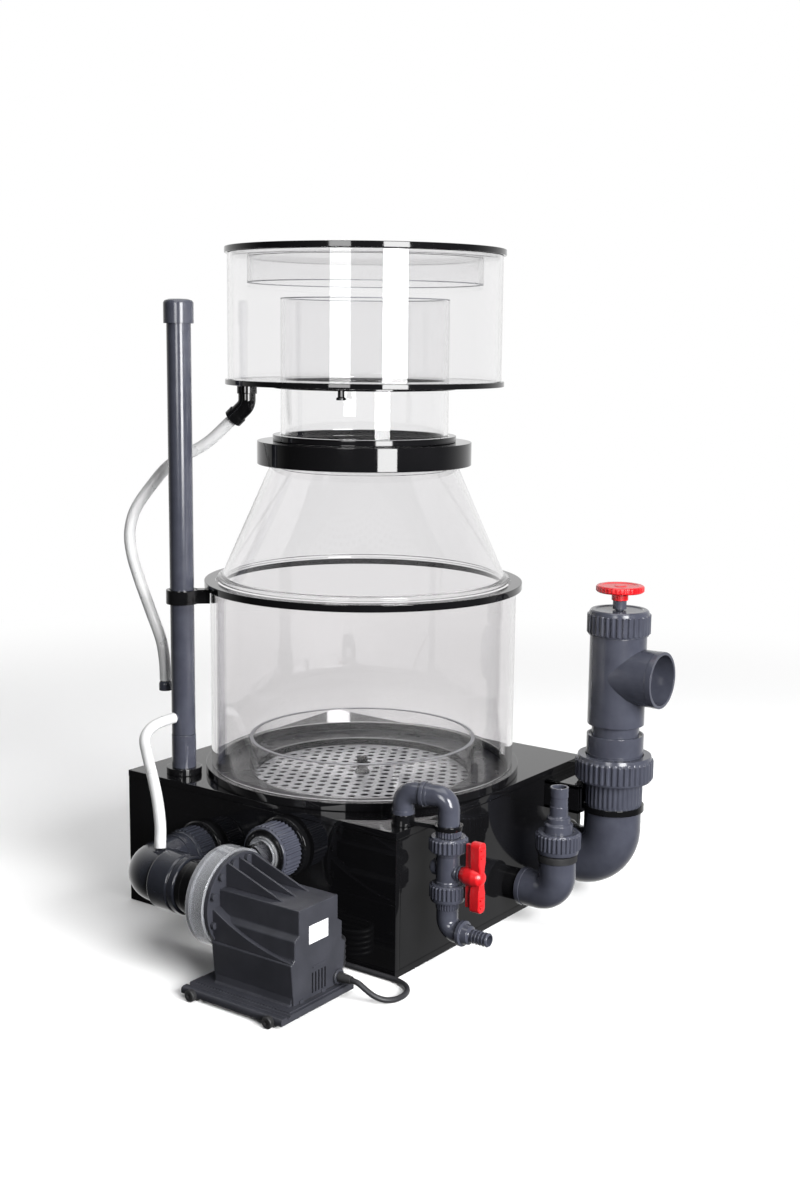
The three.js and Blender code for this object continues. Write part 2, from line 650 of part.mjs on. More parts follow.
add(outletGroup, 'outlet_elbow', outletElbow(), greyPvc);
add(outletGroup, 'outlet_nut', unionNut(51.6, 170.3, 204.5, 43.9, 170, 195, 38.4), greyPvc);
add(outletGroup, 'outlet_tail', outletTail(), greyPvc);
add(outletGroup, 'outlet_tee', outletTee(), greyPvc);
add(outletGroup, 'outlet_top_nut', outletTopNut(), greyPvc);
add(outletGroup, 'outlet_gate', outletGate(), greyPvc);
add(outletGroup, 'outlet_stem', outletStem(), blackAcrylic);
add(outletGroup, 'outlet_knob', outletKnob(), redPlastic);

// ---- Recirculating pump ----
// Pump pieces are placed from the impeller's axis.
function pumpBase() {
  const { left, right, front, back, bottom, top } = pumpPlate;
  return block(left, right, front, back, bottom, top).translate(0, -pump.y, -pump.z);
}

function pumpFoot(x) {
  const rail = block(x - 5, x + 5, pumpPlate.front - 1, pumpPlate.back, 0, pumpPlate.bottom - GAP);
  const end = alongY(disc(7, 0, 7, SMALL_SIDES)).translate(x, pumpPlate.front - GAP - 7, 7);
  return join(rail, end).translate(0, -pump.y, -pump.z);
}

function pumpVolute() {
  const { front, back, radius, wall, eye } = volute;
  const casing = alongX(turned([
    [eye, front], [radius - 3, front], [radius, front + 3], [radius, back], [radius - wall, back],
    [radius - wall, front + 4.5], [eye, front + 4.5],
  ], 24));
  const outflow = alongY(disc(10, 36, 70, SMALL_SIDES)).translate(discharge.x, 0, discharge.z - pump.z);
  return cut(casing, outflow);
}

function pumpImpeller() {
  const blades = [];
  for (let i = 0; i < 6; i += 1) {
    const blade = block(36, 41, 8, 44, -1.5, 1.5);
    blades.push(blade.rotateX((i * Math.PI) / 3));
  }
  const hub = alongX(disc(9, 36, 46, SMALL_SIDES));
  const plate = alongX(disc(44, 40.5, 44));
  const shaft = alongX(disc(5, 45, 105, SMALL_SIDES));
  return join(plate, hub, shaft, ...blades);
}

function motorOutline() {
  const half = [[34.5, motor.top], [34.5, 92 - pump.z], [42.2, 88 - pump.z], [42.2, 63 - pump.z],
    [48.5, 63 - pump.z], [43.5, motor.bottom]];
  const right = half.map(([y, z]) => [motor.mid + y, z]);
  const left = half.map(([y, z]) => [motor.mid - y, z]).reverse();
  return [...right, ...left];
}

function motorApron() {
  const shape = new THREE.Shape();
  shape.moveTo(motor.front - 1, 40 - pump.z);
  shape.lineTo(motor.rear, 40 - pump.z);
  shape.lineTo(motor.rear, 63 - pump.z);
  shape.quadraticCurveTo(112, 70 - pump.z, motor.front - 1, 101 - pump.z);
  return slabAlongY(shape, motor.mid - 47, motor.mid + 47);
}

function motorRib(y) {
  const rib = new THREE.Shape();
  rib.moveTo(motor.front - 1, motor.top - 2);
  rib.lineTo(147, motor.top - 2);
  rib.lineTo(motor.front - 1, 150 - pump.z);
  return slabAlongY(rib, y - 1.5, y + 1.5);
}

function pumpMotor() {
  const flange = alongX(disc(57, motor.flange, motor.front, 24));
  const housing = slabAlongX(motorOutline(), motor.front - 1, motor.rear);
  const ribs = [-22, 0, 22].map((y) => motorRib(motor.mid + y));
  const gland = alongX(turned([
    [0, motor.rear - 1], [9, motor.rear - 1], [9, motor.rear + 3], [6, motor.rear + 3.5],
    [4.4, cord.exitX], [0, cord.exitX],
  ], SMALL_SIDES)).translate(0, cord.exitY - pump.y, cord.exitZ - pump.z);
  const shaftHole = alongX(disc(5.7, motor.flange - 1, 110, SMALL_SIDES));
  const vents = [-2, -1, 0, 1, 2].map((i) => {
    const y = motor.mid + i * 5.6;
    return block(motor.rear - 2, motor.rear + 1, y - 1, y + 1, 18 - pump.z, 42 - pump.z);
  });
  return cut(join(flange, housing, motorApron(), ...ribs, gland), shaftHole, ...vents);
}

// The elbow bends from the base's port to the volute's eye, and carries the air inlet boss.
function suctionElbow() {
  const leg = -58;
  const seat = base.front - portFlange.depth - GAP - pump.y;
  const bend = bentPipe(point(leg, 0, 0), point(suction.x, 0, 0), point(suction.x, nutFront - pump.y, 0),
    suction.bend, suction.radius, suction.bore);
  const socket = alongX(turned([
    [suction.bore, leg - 1], [29, leg - 1], [29, leg + 2], [34, leg + 2], [36, leg + 5], [36, -25], [34, -22.3],
    [suction.bore, -22.3],
  ]));
  const tail = alongY(ring(25, suction.bore, nutFront - pump.y - 1, seat)).translate(suction.x, 0, 0);
  const boss = disc(9, 24, 32, SMALL_SIDES).translate(-69.5, 4.2, 0);
  const clearBore = alongX(disc(suction.bore, -75, -20));
  return cut(join(bend, socket, tail, boss), clearBore);
}

function sideNut(x, z, radius, tailRadius) {
  const start = nutFront + 0.5 - pump.y;
  const end = base.front - portFlange.depth - GAP - pump.y;
  return alongY(ring(radius, tailRadius, start, end, 20)).translate(x, 0, z);
}

function dischargePipe() {
  const z = discharge.z - pump.z;
  const seat = base.front - portFlange.depth - GAP - pump.y;
  const pipe = alongY(ring(discharge.radius, discharge.bore, 20, seat)).translate(discharge.x, 0, z);
  return cut(pipe, alongX(disc(volute.radius + GAP, 0, 90, 24)));
}

add(pumpGroup, 'pump_base', pumpBase(), pumpPlastic);
add(pumpGroup, 'pump_foot_left', pumpFoot(footXs.left), rubber);
add(pumpGroup, 'pump_foot_right', pumpFoot(footXs.right), rubber);
add(pumpGroup, 'pump_motor', pumpMotor(), pumpPlastic);
add(pumpGroup, 'pump_volute', pumpVolute(), clearAcrylic);
add(pumpGroup, 'pump_impeller', pumpImpeller(), blackAcrylic);
add(pumpGroup, 'suction_elbow', suctionElbow(), greyPvc);
add(pumpGroup, 'suction_sleeve', alongX(ring(34.5, suction.bore, -22, volute.front - GAP)), rubber);
add(pumpGroup, 'suction_nut', sideNut(suction.x, 0, 34, 25.8), greyPvc);
add(pumpGroup, 'discharge_pipe', dischargePipe(), clearAcrylic);
add(pumpGroup, 'discharge_nut', sideNut(discharge.x, discharge.z - pump.z, 34.5, 17.3), greyPvc);

// ---- Mains lead ----
// The lead leaves the motor's gland, turns round on the floor and runs into the hank behind the motor.
function mainsCord() {
  const floor = cord.radius;
  const side = hank.y + hank.bend;
  const outer = hank.bend + cord.radius;
  const inner = hank.bend - cord.radius;
  const entry = hank.right + Math.sqrt(outer * outer - inner * inner) + GAP;
  const route = new THREE.CatmullRomCurve3([
    point(cord.exitX + GAP, cord.exitY, cord.exitZ), point(209, -280.1, 21.5), point(219, -279, 16),
    point(229, -275.5, 9.5), point(238, -268.5, 5.2), point(244, -258, floor + 0.1), point(246, -246, floor),
    point(243.5, -234, floor), point(237, -224, floor), point(227.5, -217, floor), point(215, -213.3, floor),
    point(200, side, floor), point(182, side, floor), point(162, side, floor), point(entry, side, floor),
  ]);
  return sweep(route, cord.radius, 22, CORD_SIDES);
}

function cordHank() {
  const outer = hank.bend + cord.radius;
  const outline = new THREE.Shape();
  outline.absarc(hank.left, hank.y, outer, Math.PI / 2, 1.5 * Math.PI, false);
  outline.absarc(hank.right, hank.y, outer, -Math.PI / 2, Math.PI / 2, false);
  return new THREE.ExtrudeGeometry(outline, { depth: hank.height, bevelEnabled: false, curveSegments: 6 });
}

function mainsPlug() {
  const seat = hank.height + GAP;
  const bodyBlock = block(23, 56, hank.y - 20, hank.y + 20, seat, seat + 18);
  const relief = alongX(turned([[0, 55], [7, 55], [4.3, 80], [0, 80]], 8)).translate(0, hank.y, seat + 9);
  const pins = [-7.5, 5.5].map((y) => block(5, 24, hank.y + y, hank.y + y + 2, seat + 5.8, seat + 12.2));
  return join(bodyBlock, relief, ...pins);
}

add(skimmer, 'mains_cord', mainsCord(), cordGrey);
add(skimmer, 'cord_hank', cordHank(), cordGrey);
add(skimmer, 'mains_plug', mainsPlug(), cordGrey);

export default skimmer;
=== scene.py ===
import math

import bmesh
import bpy
from mathutils import Matrix, Vector


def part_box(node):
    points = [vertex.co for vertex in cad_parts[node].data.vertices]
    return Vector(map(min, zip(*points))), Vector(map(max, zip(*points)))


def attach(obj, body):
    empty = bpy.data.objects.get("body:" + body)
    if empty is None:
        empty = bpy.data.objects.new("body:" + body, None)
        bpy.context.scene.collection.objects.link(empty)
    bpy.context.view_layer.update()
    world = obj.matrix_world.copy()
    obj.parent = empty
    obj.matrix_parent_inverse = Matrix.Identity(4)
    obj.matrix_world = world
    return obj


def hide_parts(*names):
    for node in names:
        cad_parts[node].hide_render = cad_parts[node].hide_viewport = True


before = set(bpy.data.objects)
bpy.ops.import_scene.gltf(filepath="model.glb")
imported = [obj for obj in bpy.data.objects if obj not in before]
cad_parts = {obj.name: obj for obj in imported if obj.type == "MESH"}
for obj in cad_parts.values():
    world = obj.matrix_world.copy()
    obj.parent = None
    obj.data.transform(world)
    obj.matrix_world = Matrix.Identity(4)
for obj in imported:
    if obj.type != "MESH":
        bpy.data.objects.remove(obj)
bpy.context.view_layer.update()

scene = bpy.context.scene
MM = 0.001
BODY = "skimmer"


# ---------------------------------------------------------------- places from the frame
def place(node):
    """A node's lowest corner, highest corner and centre at rest, in millimetres."""
    low, high = (Vector(corner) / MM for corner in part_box(node))
    return low, high, (low + high) / 2


# ---------------------------------------------------------------- camera, light and floor
def make_camera():
    """A 46.6 mm lens in front and to the right of the skimmer, a little above its middle."""
    yaw, pitch, roll = map(math.radians, (35.866, 9.638, 0.619))
    data = bpy.data.cameras.new("camera")
    data.sensor_fit = "AUTO"
    data.sensor_width = 36
    data.lens = 46.60
    data.clip_start = 0.05
    data.clip_end = 100
    camera = bpy.data.objects.new("camera", data)
    scene.collection.objects.link(camera)
    forward = Vector((-math.sin(yaw) * math.cos(pitch), math.cos(yaw) * math.cos(pitch), -math.sin(pitch)))
    right = Vector((math.cos(yaw), math.sin(yaw), 0))
    up = right.cross(forward)
    turned_right = math.cos(roll) * right + math.sin(roll) * up
    turned_up = -math.sin(roll) * right + math.cos(roll) * up
    basis = Matrix((turned_right, turned_up, -forward)).transposed().to_4x4()
    camera.matrix_world = Matrix.Translation((1.219063, -1.604006, 0.745702)) @ basis
    scene.camera = camera


def add(tree, kind, **inputs):
    """A shader node with plain values on its named inputs."""
    node = tree.nodes.new("ShaderNode" + kind)
    for name, value in inputs.items():
        node.inputs[name.replace("_", " ")].default_value = value
    return node


def make_world():
    """White behind everything, and a softer room in reflections: bright behind, dim in front."""
    world = bpy.data.worlds.new("studio")
    scene.world = world
    world.use_nodes = True
    tree = world.node_tree
    tree.nodes.clear()
    path = add(tree, "LightPath")
    coords = add(tree, "TexCoord")
    along = add(tree, "VectorMath")
    along.operation = "DOT_PRODUCT"
    along.inputs[1].default_value = (-0.586, 0.81, 0.0)
    ramp = add(tree, "MapRange", From_Min=-0.1, From_Max=0.95, To_Min=0.05, To_Max=1.15)
    ramp.interpolation_type = "SMOOTHSTEP"
    seen = add(tree, "Math")
    seen.operation = "ADD"
    seen.use_clamp = True
    room = add(tree, "Background")
    white = add(tree, "Background", Strength=1.0, Color=(1, 1, 1, 1))
    mix = add(tree, "MixShader")
    join = tree.links.new
    join(coords.outputs["Generated"], along.inputs[0])
    join(along.outputs["Value"], ramp.inputs["Value"])
    join(ramp.outputs["Result"], room.inputs["Strength"])
    join(path.outputs["Is Camera Ray"], seen.inputs[0])
    join(path.outputs["Is Transmission Ray"], seen.inputs[1])
    join(seen.outputs[0], mix.inputs[0])
    join(room.outputs[0], mix.inputs[1])
    join(white.outputs[0], mix.inputs[2])
    join(mix.outputs[0], add(tree, "OutputWorld").inputs["Surface"])


def softbox(name, at, target, size, power, hidden=None):
    data = bpy.data.lights.new(name, "AREA")
    data.shape = "RECTANGLE"
    data.size, data.size_y = size
    data.energy = power
    light = bpy.data.objects.new(name, data)
    scene.collection.objects.link(light)
    light.location = at
    light.rotation_euler = (Vector(target) - Vector(at)).to_track_quat("-Z", "Y").to_euler()
    light.visible_camera = False
    light.visible_transmission = False
    if hidden:
        setattr(light, "visible_" + hidden, False)


def make_lights():
    """A key and a strip on the right, a strip on the left, a wide box overhead and a thin strip behind."""
    softbox("strip_right", (2.27, -1.27, 1.03), (0, 0, 1.03), (0.92, 1.45), 90)
    softbox("strip_left", (0.79, -2.48, 1.16), (0, 0, 1.16), (0.76, 1.28), 27, "diffuse")
    softbox("key_right", (3.0, -0.4, 1.3), (0, 0, 0.35), (1.2, 1.6), 150, "glossy")
    softbox("overhead", (0.2, -0.2, 3.0), (0, 0, 0), (2.6, 2.6), 50)
    softbox("back_strip", (-2.14, 2.64, 1.2), (0.1, -0.19, 0.2), (0.10, 1.5), 2.6)


def make_floor():
    """A pale round floor that fades into white and stays out of reflections and bounced light."""
    bpy.ops.mesh.primitive_circle_add(vertices=128, radius=9, fill_type="NGON", location=(0, 0, -0.0002))
    floor = bpy.context.object
    floor.name = "floor"
    material = bpy.data.materials.new("pale_floor")
    material.use_nodes = True
    tree = material.node_tree
    shader = tree.nodes["Principled BSDF"]
    shader.inputs["Base Color"].default_value = (0.91, 0.91, 0.91, 1)
    shader.inputs["Roughness"].default_value = 0.9
    shader.inputs["Specular IOR Level"].default_value = 0.1
    length = add(tree, "VectorMath")
    length.operation = "LENGTH"
    fade = add(tree, "MapRange", From_Min=0.7, From_Max=2.2)
    fade.interpolation_type = "SMOOTHSTEP"
    mix = add(tree, "MixShader")
    join = tree.links.new
    join(add(tree, "TexCoord").outputs["Object"], length.inputs[0])
    join(length.outputs["Value"], fade.inputs["Value"])
    join(fade.outputs["Result"], mix.inputs[0])
    join(shader.outputs[0], mix.inputs[1])
    join(add(tree, "Emission", Strength=1.0).outputs[0], mix.inputs[2])
    join(mix.outputs[0], tree.nodes["Material Output"].inputs["Surface"])
    floor.data.materials.append(material)
    floor.visible_glossy = False
    floor.visible_diffuse = False


scene.view_settings.view_transform = "Standard"
scene.cycles.max_bounces = 24
scene.cycles.transmission_bounces = 20
scene.cycles.transparent_max_bounces = 24
scene.cycles.sample_clamp_indirect = 6
make_camera()
make_world()
make_lights()
make_floor()


# ---------------------------------------------------------------- materials
def new_material(name, **sockets):
    """A Principled material with plain values on its sockets, and the node tree to add detail to."""
    material = bpy.data.materials.new(name + "_look")
    material.use_nodes = True
    tree = material.node_tree
    shader = tree.nodes["Principled BSDF"]
    for socket, value in sockets.items():
        shader.inputs[socket.replace("_", " ")].default_value = value
    return material, tree, shader


def noise(tree, scale, detail=3.0):
    """Noise in the object's own space, so that it stays on the piece."""
    texture = add(tree, "TexNoise", Scale=scale, Detail=detail)
    tree.links.new(add(tree, "TexCoord").outputs["Object"], texture.inputs["Vector"])
    return texture.outputs["Fac"]


def ranged(tree, source, low, high, from_low=0.3, from_high=0.7):
    """A source's values from from_low to from_high, spread over low to high."""
    node = add(tree, "MapRange", From_Min=from_low, From_Max=from_high, To_Min=low, To_Max=high)
    tree.links.new(source, node.inputs["Value"])
    return node.outputs["Result"]


def two_tones(tree, shader, source, dark, light):
    mix = add(tree, "Mix")
    mix.data_type = "RGBA"
    mix.inputs["A"].default_value = (*dark, 1)
    mix.inputs["B"].default_value = (*light, 1)
    tree.links.new(source, mix.inputs["Factor"])
    tree.links.new(mix.outputs["Result"], shader.inputs["Base Color"])


def grain(tree, shader, scale, strength, distance):
    bump = add(tree, "Bump", Strength=strength, Distance=distance)
    tree.links.new(noise(tree, scale, 2), bump.inputs["Height"])
    tree.links.new(bump.outputs[0], shader.inputs["Normal"])


def lamps_pass(tree, shader, tint):
    """Lets lamps shine through clear plastic, as they do through a thin wall of it."""
    through = add(tree, "BsdfTransparent", Color=tint)
    mix = add(tree, "MixShader")
    tree.links.new(add(tree, "LightPath").outputs["Is Shadow Ray"], mix.inputs[0])
    tree.links.new(shader.outputs[0], mix.inputs[1])
    tree.links.new(through.outputs[0], mix.inputs[2])
    tree.links.new(mix.outputs[0], tree.nodes["Material Output"].inputs["Surface"])


def black_acrylic():
    """Polished black sheet with faint smudges and a slight waviness."""
    material, tree, shader = new_material("black_acrylic", IOR=1.49)
    smudge = noise(tree, 9, 6)
    two_tones(tree, shader, ranged(tree, smudge, 0, 1), (0.0032, 0.0032, 0.0036), (0.0052, 0.0052, 0.0058))
    tree.links.new(ranged(tree, smudge, 0.025, 0.085, 0.4, 0.75), shader.inputs["Roughness"])
    grain(tree, shader, 14, 0.012, 0.002)
    return material


def clear_acrylic(name, tint):
    """Cast acrylic in a given tint; a deeper tint passed for one piece is painted shade, darkening it to the
    shade it is seen in.
    """
    material, tree, shader = new_material(name, Transmission_Weight=1.0, IOR=1.49, Base_Color=(*tint, 1))
    tree.links.new(ranged(tree, noise(tree, 11, 5), 0.0, 0.035, 0.5, 0.8), shader.inputs["Roughness"])
    grain(tree, shader, 6, 0.01, 0.002)
    lamps_pass(tree, shader, (0.96, 0.96, 0.965, 1))
    return material


def plastic(name, tones, dark, light, gloss, low, high, fine=None, lamps=None, **sockets):
    """Moulded plastic in two close tones with uneven gloss.

    tones and gloss are the scale and detail of their noise, fine is the scale, strength and depth of
    the grain, and lamps is the tint of the lamp light that it lets through.
    """
    material, tree, shader = new_material(name, **sockets)
    two_tones(tree, shader, ranged(tree, noise(tree, *tones), 0, 1), dark, light)
    tree.links.new(ranged(tree, noise(tree, *gloss), low, high), shader.inputs["Roughness"])
    if fine:
        grain(tree, shader, *fine)
    if lamps:
        lamps_pass(tree, shader, lamps)
    return material


def grey_pvc(name, dark, light, low, high):
    return plastic(name, (55, 5), dark, light, (30, 4), low, high, (900, 0.10, 0.0002), IOR=1.53)


def frosted(name, colour, transmission, low, high):
    dark = tuple(c * 0.9 for c in colour)
    return plastic(name, (26, 4), dark, colour, (40, 3), low, high, None, (0.8, 0.8, 0.82, 1),
                   IOR=1.5, Transmission_Weight=transmission)


def matt(name, dark, light, low, high, bump=0.15, **sockets):
    return plastic(name, (38, 4), dark, light, (60, 3), low, high, (1300, bump, 0.0002), IOR=1.48, **sockets)


BLACK = black_acrylic()
CLEAR = clear_acrylic("clear_acrylic", (0.945, 0.943, 0.946))
# The body tube's deeper tint is partly its thicker wall and partly painted shade; the cone's deeper tint is
# painted shade.
CLEAR_THICK_AND_SHADED = clear_acrylic("clear_acrylic_thick_and_shaded", (0.865, 0.855, 0.86))
CLEAR_CONE_SHADED = clear_acrylic("clear_acrylic_cone_shaded", (0.91, 0.905, 0.91))
PVC = grey_pvc("grey_pvc", (0.038, 0.040, 0.054), (0.048, 0.051, 0.067), 0.13, 0.22)
# A darker copy of the grey PVC for the suction parts: painted shade, for the shade those parts are seen in.
PVC_PAINTED_SHADE = grey_pvc("grey_pvc_painted_shade", (0.017, 0.018, 0.024), (0.021, 0.023, 0.030), 0.13, 0.19)
PUMP = plastic("pump_plastic", (40, 4), (0.024, 0.025, 0.031), (0.032, 0.033, 0.041), (60, 3), 0.30, 0.42,
               (1600, 0.30, 0.00025), IOR=1.5)
RED = plastic("red_plastic", (45, 4), (0.42, 0.005, 0.008), (0.52, 0.008, 0.012), (70, 3), 0.28, 0.42,
              (1200, 0.12, 0.0002), IOR=1.5, Coat_Weight=0.3, Coat_Roughness=0.15)
RUBBER = plastic("black_rubber", (50, 4), (0.010, 0.010, 0.011), (0.022, 0.022, 0.023), (80, 4), 0.45, 0.65,
                 (1400, 0.2, 0.0002), IOR=1.5)
HOSE = plastic("silicone_hose", (35, 4), (0.62, 0.625, 0.63), (0.70, 0.70, 0.70), (50, 3), 0.25, 0.40,
               IOR=1.41, Transmission_Weight=0.25)
VOLUTE = frosted("volute_clear", (0.56, 0.57, 0.59), 0.82, 0.08, 0.16)
# The rims of the clear tubes: their frosting is the cut edge, their dark grey tone is painted shade for the
# dark line a clear rim shows.
EDGE_AND_SHADE = frosted("cut_edge_and_shade", (0.16, 0.165, 0.18), 0.6, 0.3, 0.4)
PERFORATED = matt("diffuser_grey", (0.21, 0.212, 0.218), (0.26, 0.262, 0.268), 0.07, 0.14, 0.03)
# Flat black with little sheen: the real gasket under the body tube, and painted shade in the diffuser plate's
# holes and the motor's vent slots.
GASKET_AND_SHADE_BLACK = matt("flat_black", (0.004, 0.004, 0.005), (0.006, 0.006, 0.008), 0.25, 0.4, Specular_IOR_Level=0.12)
SHEATH = matt("cord_sheath", (0.018, 0.018, 0.020), (0.026, 0.026, 0.029), 0.35, 0.45)
PLUG = matt("plug_plastic", (0.018, 0.018, 0.019), (0.028, 0.028, 0.030), 0.4, 0.55)
LABEL = matt("label_blank", (0.56, 0.56, 0.57), (0.62, 0.62, 0.63), 0.35, 0.5, 0.05)
BRASS, brass_tree, brass_shader = new_material("plug_pins", Metallic=1.0, Roughness=0.3)
two_tones(brass_tree, brass_shader, noise(brass_tree, 60), (0.55, 0.45, 0.25), (0.66, 0.56, 0.34))


# ---------------------------------------------------------------- mesh building
AXES = {  # the two directions across each axis, and the axis itself
    "X": (Vector((0, 1, 0)), Vector((0, 0, 1)), Vector((1, 0, 0))),
    "Y": (Vector((1, 0, 0)), Vector((0, 0, 1)), Vector((0, 1, 0))),
    "Z": (Vector((1, 0, 0)), Vector((0, 1, 0)), Vector((0, 0, 1))),
}


def rounded(profile, size, steps):
    """A profile of (radius, height[, rib]) points with its corners eased."""
    count = len(profile)
    full = [tuple(p) + (0.0,) * (3 - len(p)) for p in profile]
    eased = []
    for i, here in enumerate(full):
        before, after = full[i - 1], full[(i + 1) % count]
        here, before, after = Vector(here), Vector(before), Vector(after)
        if here.x < 1e-9:
            eased.append(here)
            continue
        back, on = before - here, after - here
        reach = min(size, 0.42 * back.length, 0.42 * on.length)
        if reach < 1e-3 or back.normalized().dot(on.normalized()) < -0.995:
            eased.append(here)
            continue
        start, end = here + back.normalized() * reach, here + on.normalized() * reach
        for k in range(steps + 1):
            t = k / steps
            eased.append(start * (1 - t) ** 2 + here * 2 * t * (1 - t) + end * t * t)
    return eased


def wave(angle, ribs):
    """One rounded rib for each turn of angle * ribs, from 0 to 1."""
    return 0.5 + 0.5 * math.tanh(2.2 * math.cos(angle * ribs)) / math.tanh(2.2)


def skin(rings):
    """Faces from each ring of vertices to the next and back to the first. One vertex alone is a tip."""
    faces = []
    for one, two in zip(rings, rings[1:] + rings[:1]):
        count = max(len(one), len(two))
        if count == 1:
            continue
        for k in range(count):
            n = (k + 1) % count
            if len(one) == 1:
                faces.append((one[0], two[k], two[n]))
            elif len(two) == 1:
                faces.append((one[k], two[0], one[n]))
            else:
                faces.append((one[k], two[k], two[n], one[n]))
    return faces


def lathe(profile, at=(0, 0, 0), axis="Z", segments=96, ease=0.6, steps=2, ribs=0):
    """A closed solid of revolution. A third value on a profile point is how far ribs stand out there."""
    across, up, along = AXES[axis]
    at = Vector(at)
    segments = ribs * 8 if ribs else segments
    verts, rings = [], []
    for point in rounded(profile, ease, steps):
        if point.x < 1e-9:
            rings.append([len(verts)])
            verts.append(at + along * point.y)
            continue
        rings.append(list(range(len(verts), len(verts) + segments)))
        for k in range(segments):
            angle = 2 * math.pi * k / segments
            radius = point.x + (point.z * wave(angle, ribs) if ribs else 0)
            rim = at + across * radius * math.cos(angle) + up * radius * math.sin(angle)
            verts.append(rim + along * point.y)
    return verts, skin(rings)


def pipe(outer, inner, low, high, at=(0, 0, 0), axis="Z", **options):
    """A plain tube between two heights."""
    return lathe([(inner, low), (outer, low), (outer, high), (inner, high)], at, axis, **options)


def rod(radius, low, high, at=(0, 0, 0), axis="Z", **options):
    return lathe([(0, low), (radius, low), (radius, high), (0, high)], at, axis, **options)


def lifted(base, profile):
    """A profile whose heights are given from a base height."""
    return [(radius, base + height, *rib) for radius, height, *rib in profile]


def elbow_path(start, corner, end, bend, arc_steps=14):
    """Points along a straight leg, a round corner and a second straight leg."""
    start, corner, end = Vector(start), Vector(corner), Vector(end)
    inward, outward = (corner - start).normalized(), (end - corner).normalized()
    angle = inward.angle(outward)
    side = (outward - inward * math.cos(angle)).normalized()
    arc_start = corner - inward * bend * math.tan(angle / 2)
    path = [start]
    for k in range(arc_steps + 1):
        turn = angle * k / arc_steps
        path.append(arc_start + inward * bend * math.sin(turn) + side * bend * (1 - math.cos(turn)))
    return path + [end]


def sweep(path, radius, bore=0.0, segments=48, ease=0.4):
    """A tube along a path, hollow if it has a bore."""
    tangents = [(b - a).normalized() for a, b in zip(path, path[1:])]
    tangents = [tangents[0]] + [(a + b).normalized() for a, b in zip(tangents, tangents[1:])] + [tangents[-1]]
    side = Vector((0, 0, 1)).cross(tangents[0])
    if side.length < 1e-6:
        side = Vector((1, 0, 0))
    stations = []
    for point, tangent in zip(path, tangents):
        side = (side - tangent * side.dot(tangent)).normalized()
        stations.append((point, side.copy(), tangent.cross(side), tangent))
    first, *middle, last = stations
    outer = [(first, radius - ease, 0), (first, radius, ease)] + [(s, radius, 0) for s in middle]
    outer += [(last, radius, -ease), (last, radius - ease, 0)]
    if bore:
        inner = [(last, bore + ease, 0), (last, bore, -ease)] + [(s, bore, 0) for s in reversed(middle)]
        shells = outer + inner + [(first, bore, ease), (first, bore + ease, 0)]
    else:
        shells = [(first, 0, 0)] + outer + [(last, 0, 0)]
    verts, rings = [], []
    for (point, across, up, along), size, shift in shells:
        centre = point + along * shift
        if size == 0:
            rings.append([len(verts)])
            verts.append(centre)
            continue
        rings.append(list(range(len(verts), len(verts) + segments)))
        for k in range(segments):
            angle = 2 * math.pi * k / segments
            verts.append(centre + across * size * math.cos(angle) + up * size * math.sin(angle))
    return verts, skin(rings)


def from_bmesh(bm):
    verts = [v.co.copy() for v in bm.verts]
    bm.verts.index_update()
    faces = [tuple(v.index for v in f.verts) for f in bm.faces]
    bm.free()
    return verts, faces


def bevel_all(bm, size, steps=2, angle=20):
    edges = [e for e in bm.edges if len(e.link_faces) == 2 and e.calc_face_angle(0) > math.radians(angle)]
    bmesh.ops.bevel(bm, geom=edges, offset=size, segments=steps, profile=0.5, affect="EDGES",
                    clamp_overlap=True)


def slab(low, high, ease=0.6, steps=2):
    """A box between two corners with eased edges."""
    bm = bmesh.new()
    low, high = Vector(low), Vector(high)
    bmesh.ops.create_cube(bm, size=1)
    for v in bm.verts:
        v.co = Vector(low[i] if v.co[i] < 0 else high[i] for i in range(3))
    bevel_all(bm, ease, steps)
    return from_bmesh(bm)


def extruded(outline, axis, low, high, ease=0.6, steps=2):
    """A flat outline of points, given across the axis, pulled out along it and eased."""
    across, up, along = AXES[axis]
    bm = bmesh.new()
    ring = [bm.verts.new(across * a + up * b + along * low) for a, b in outline]
    face = bm.faces.new(ring)
    made = bmesh.ops.extrude_face_region(bm, geom=[face])
    for v in made["geom"]:
        if isinstance(v, bmesh.types.BMVert):
            v.co += along * (high - low)
    bmesh.ops.recalc_face_normals(bm, faces=bm.faces)
    if ease:
        bevel_all(bm, ease, steps)
    return from_bmesh(bm)


def circle(x, y, radius, steps=48, start=0.0, turn=2 * math.pi):
    count = steps if turn >= 2 * math.pi else steps + 1
    return [(x + radius * math.cos(start + turn * k / steps), y + radius * math.sin(start + turn * k / steps))
            for k in range(count)]


def rectangle(a_low, b_low, a_high, b_high):
    return [(a_low, b_low), (a_high, b_low), (a_high, b_high), (a_low, b_high)]


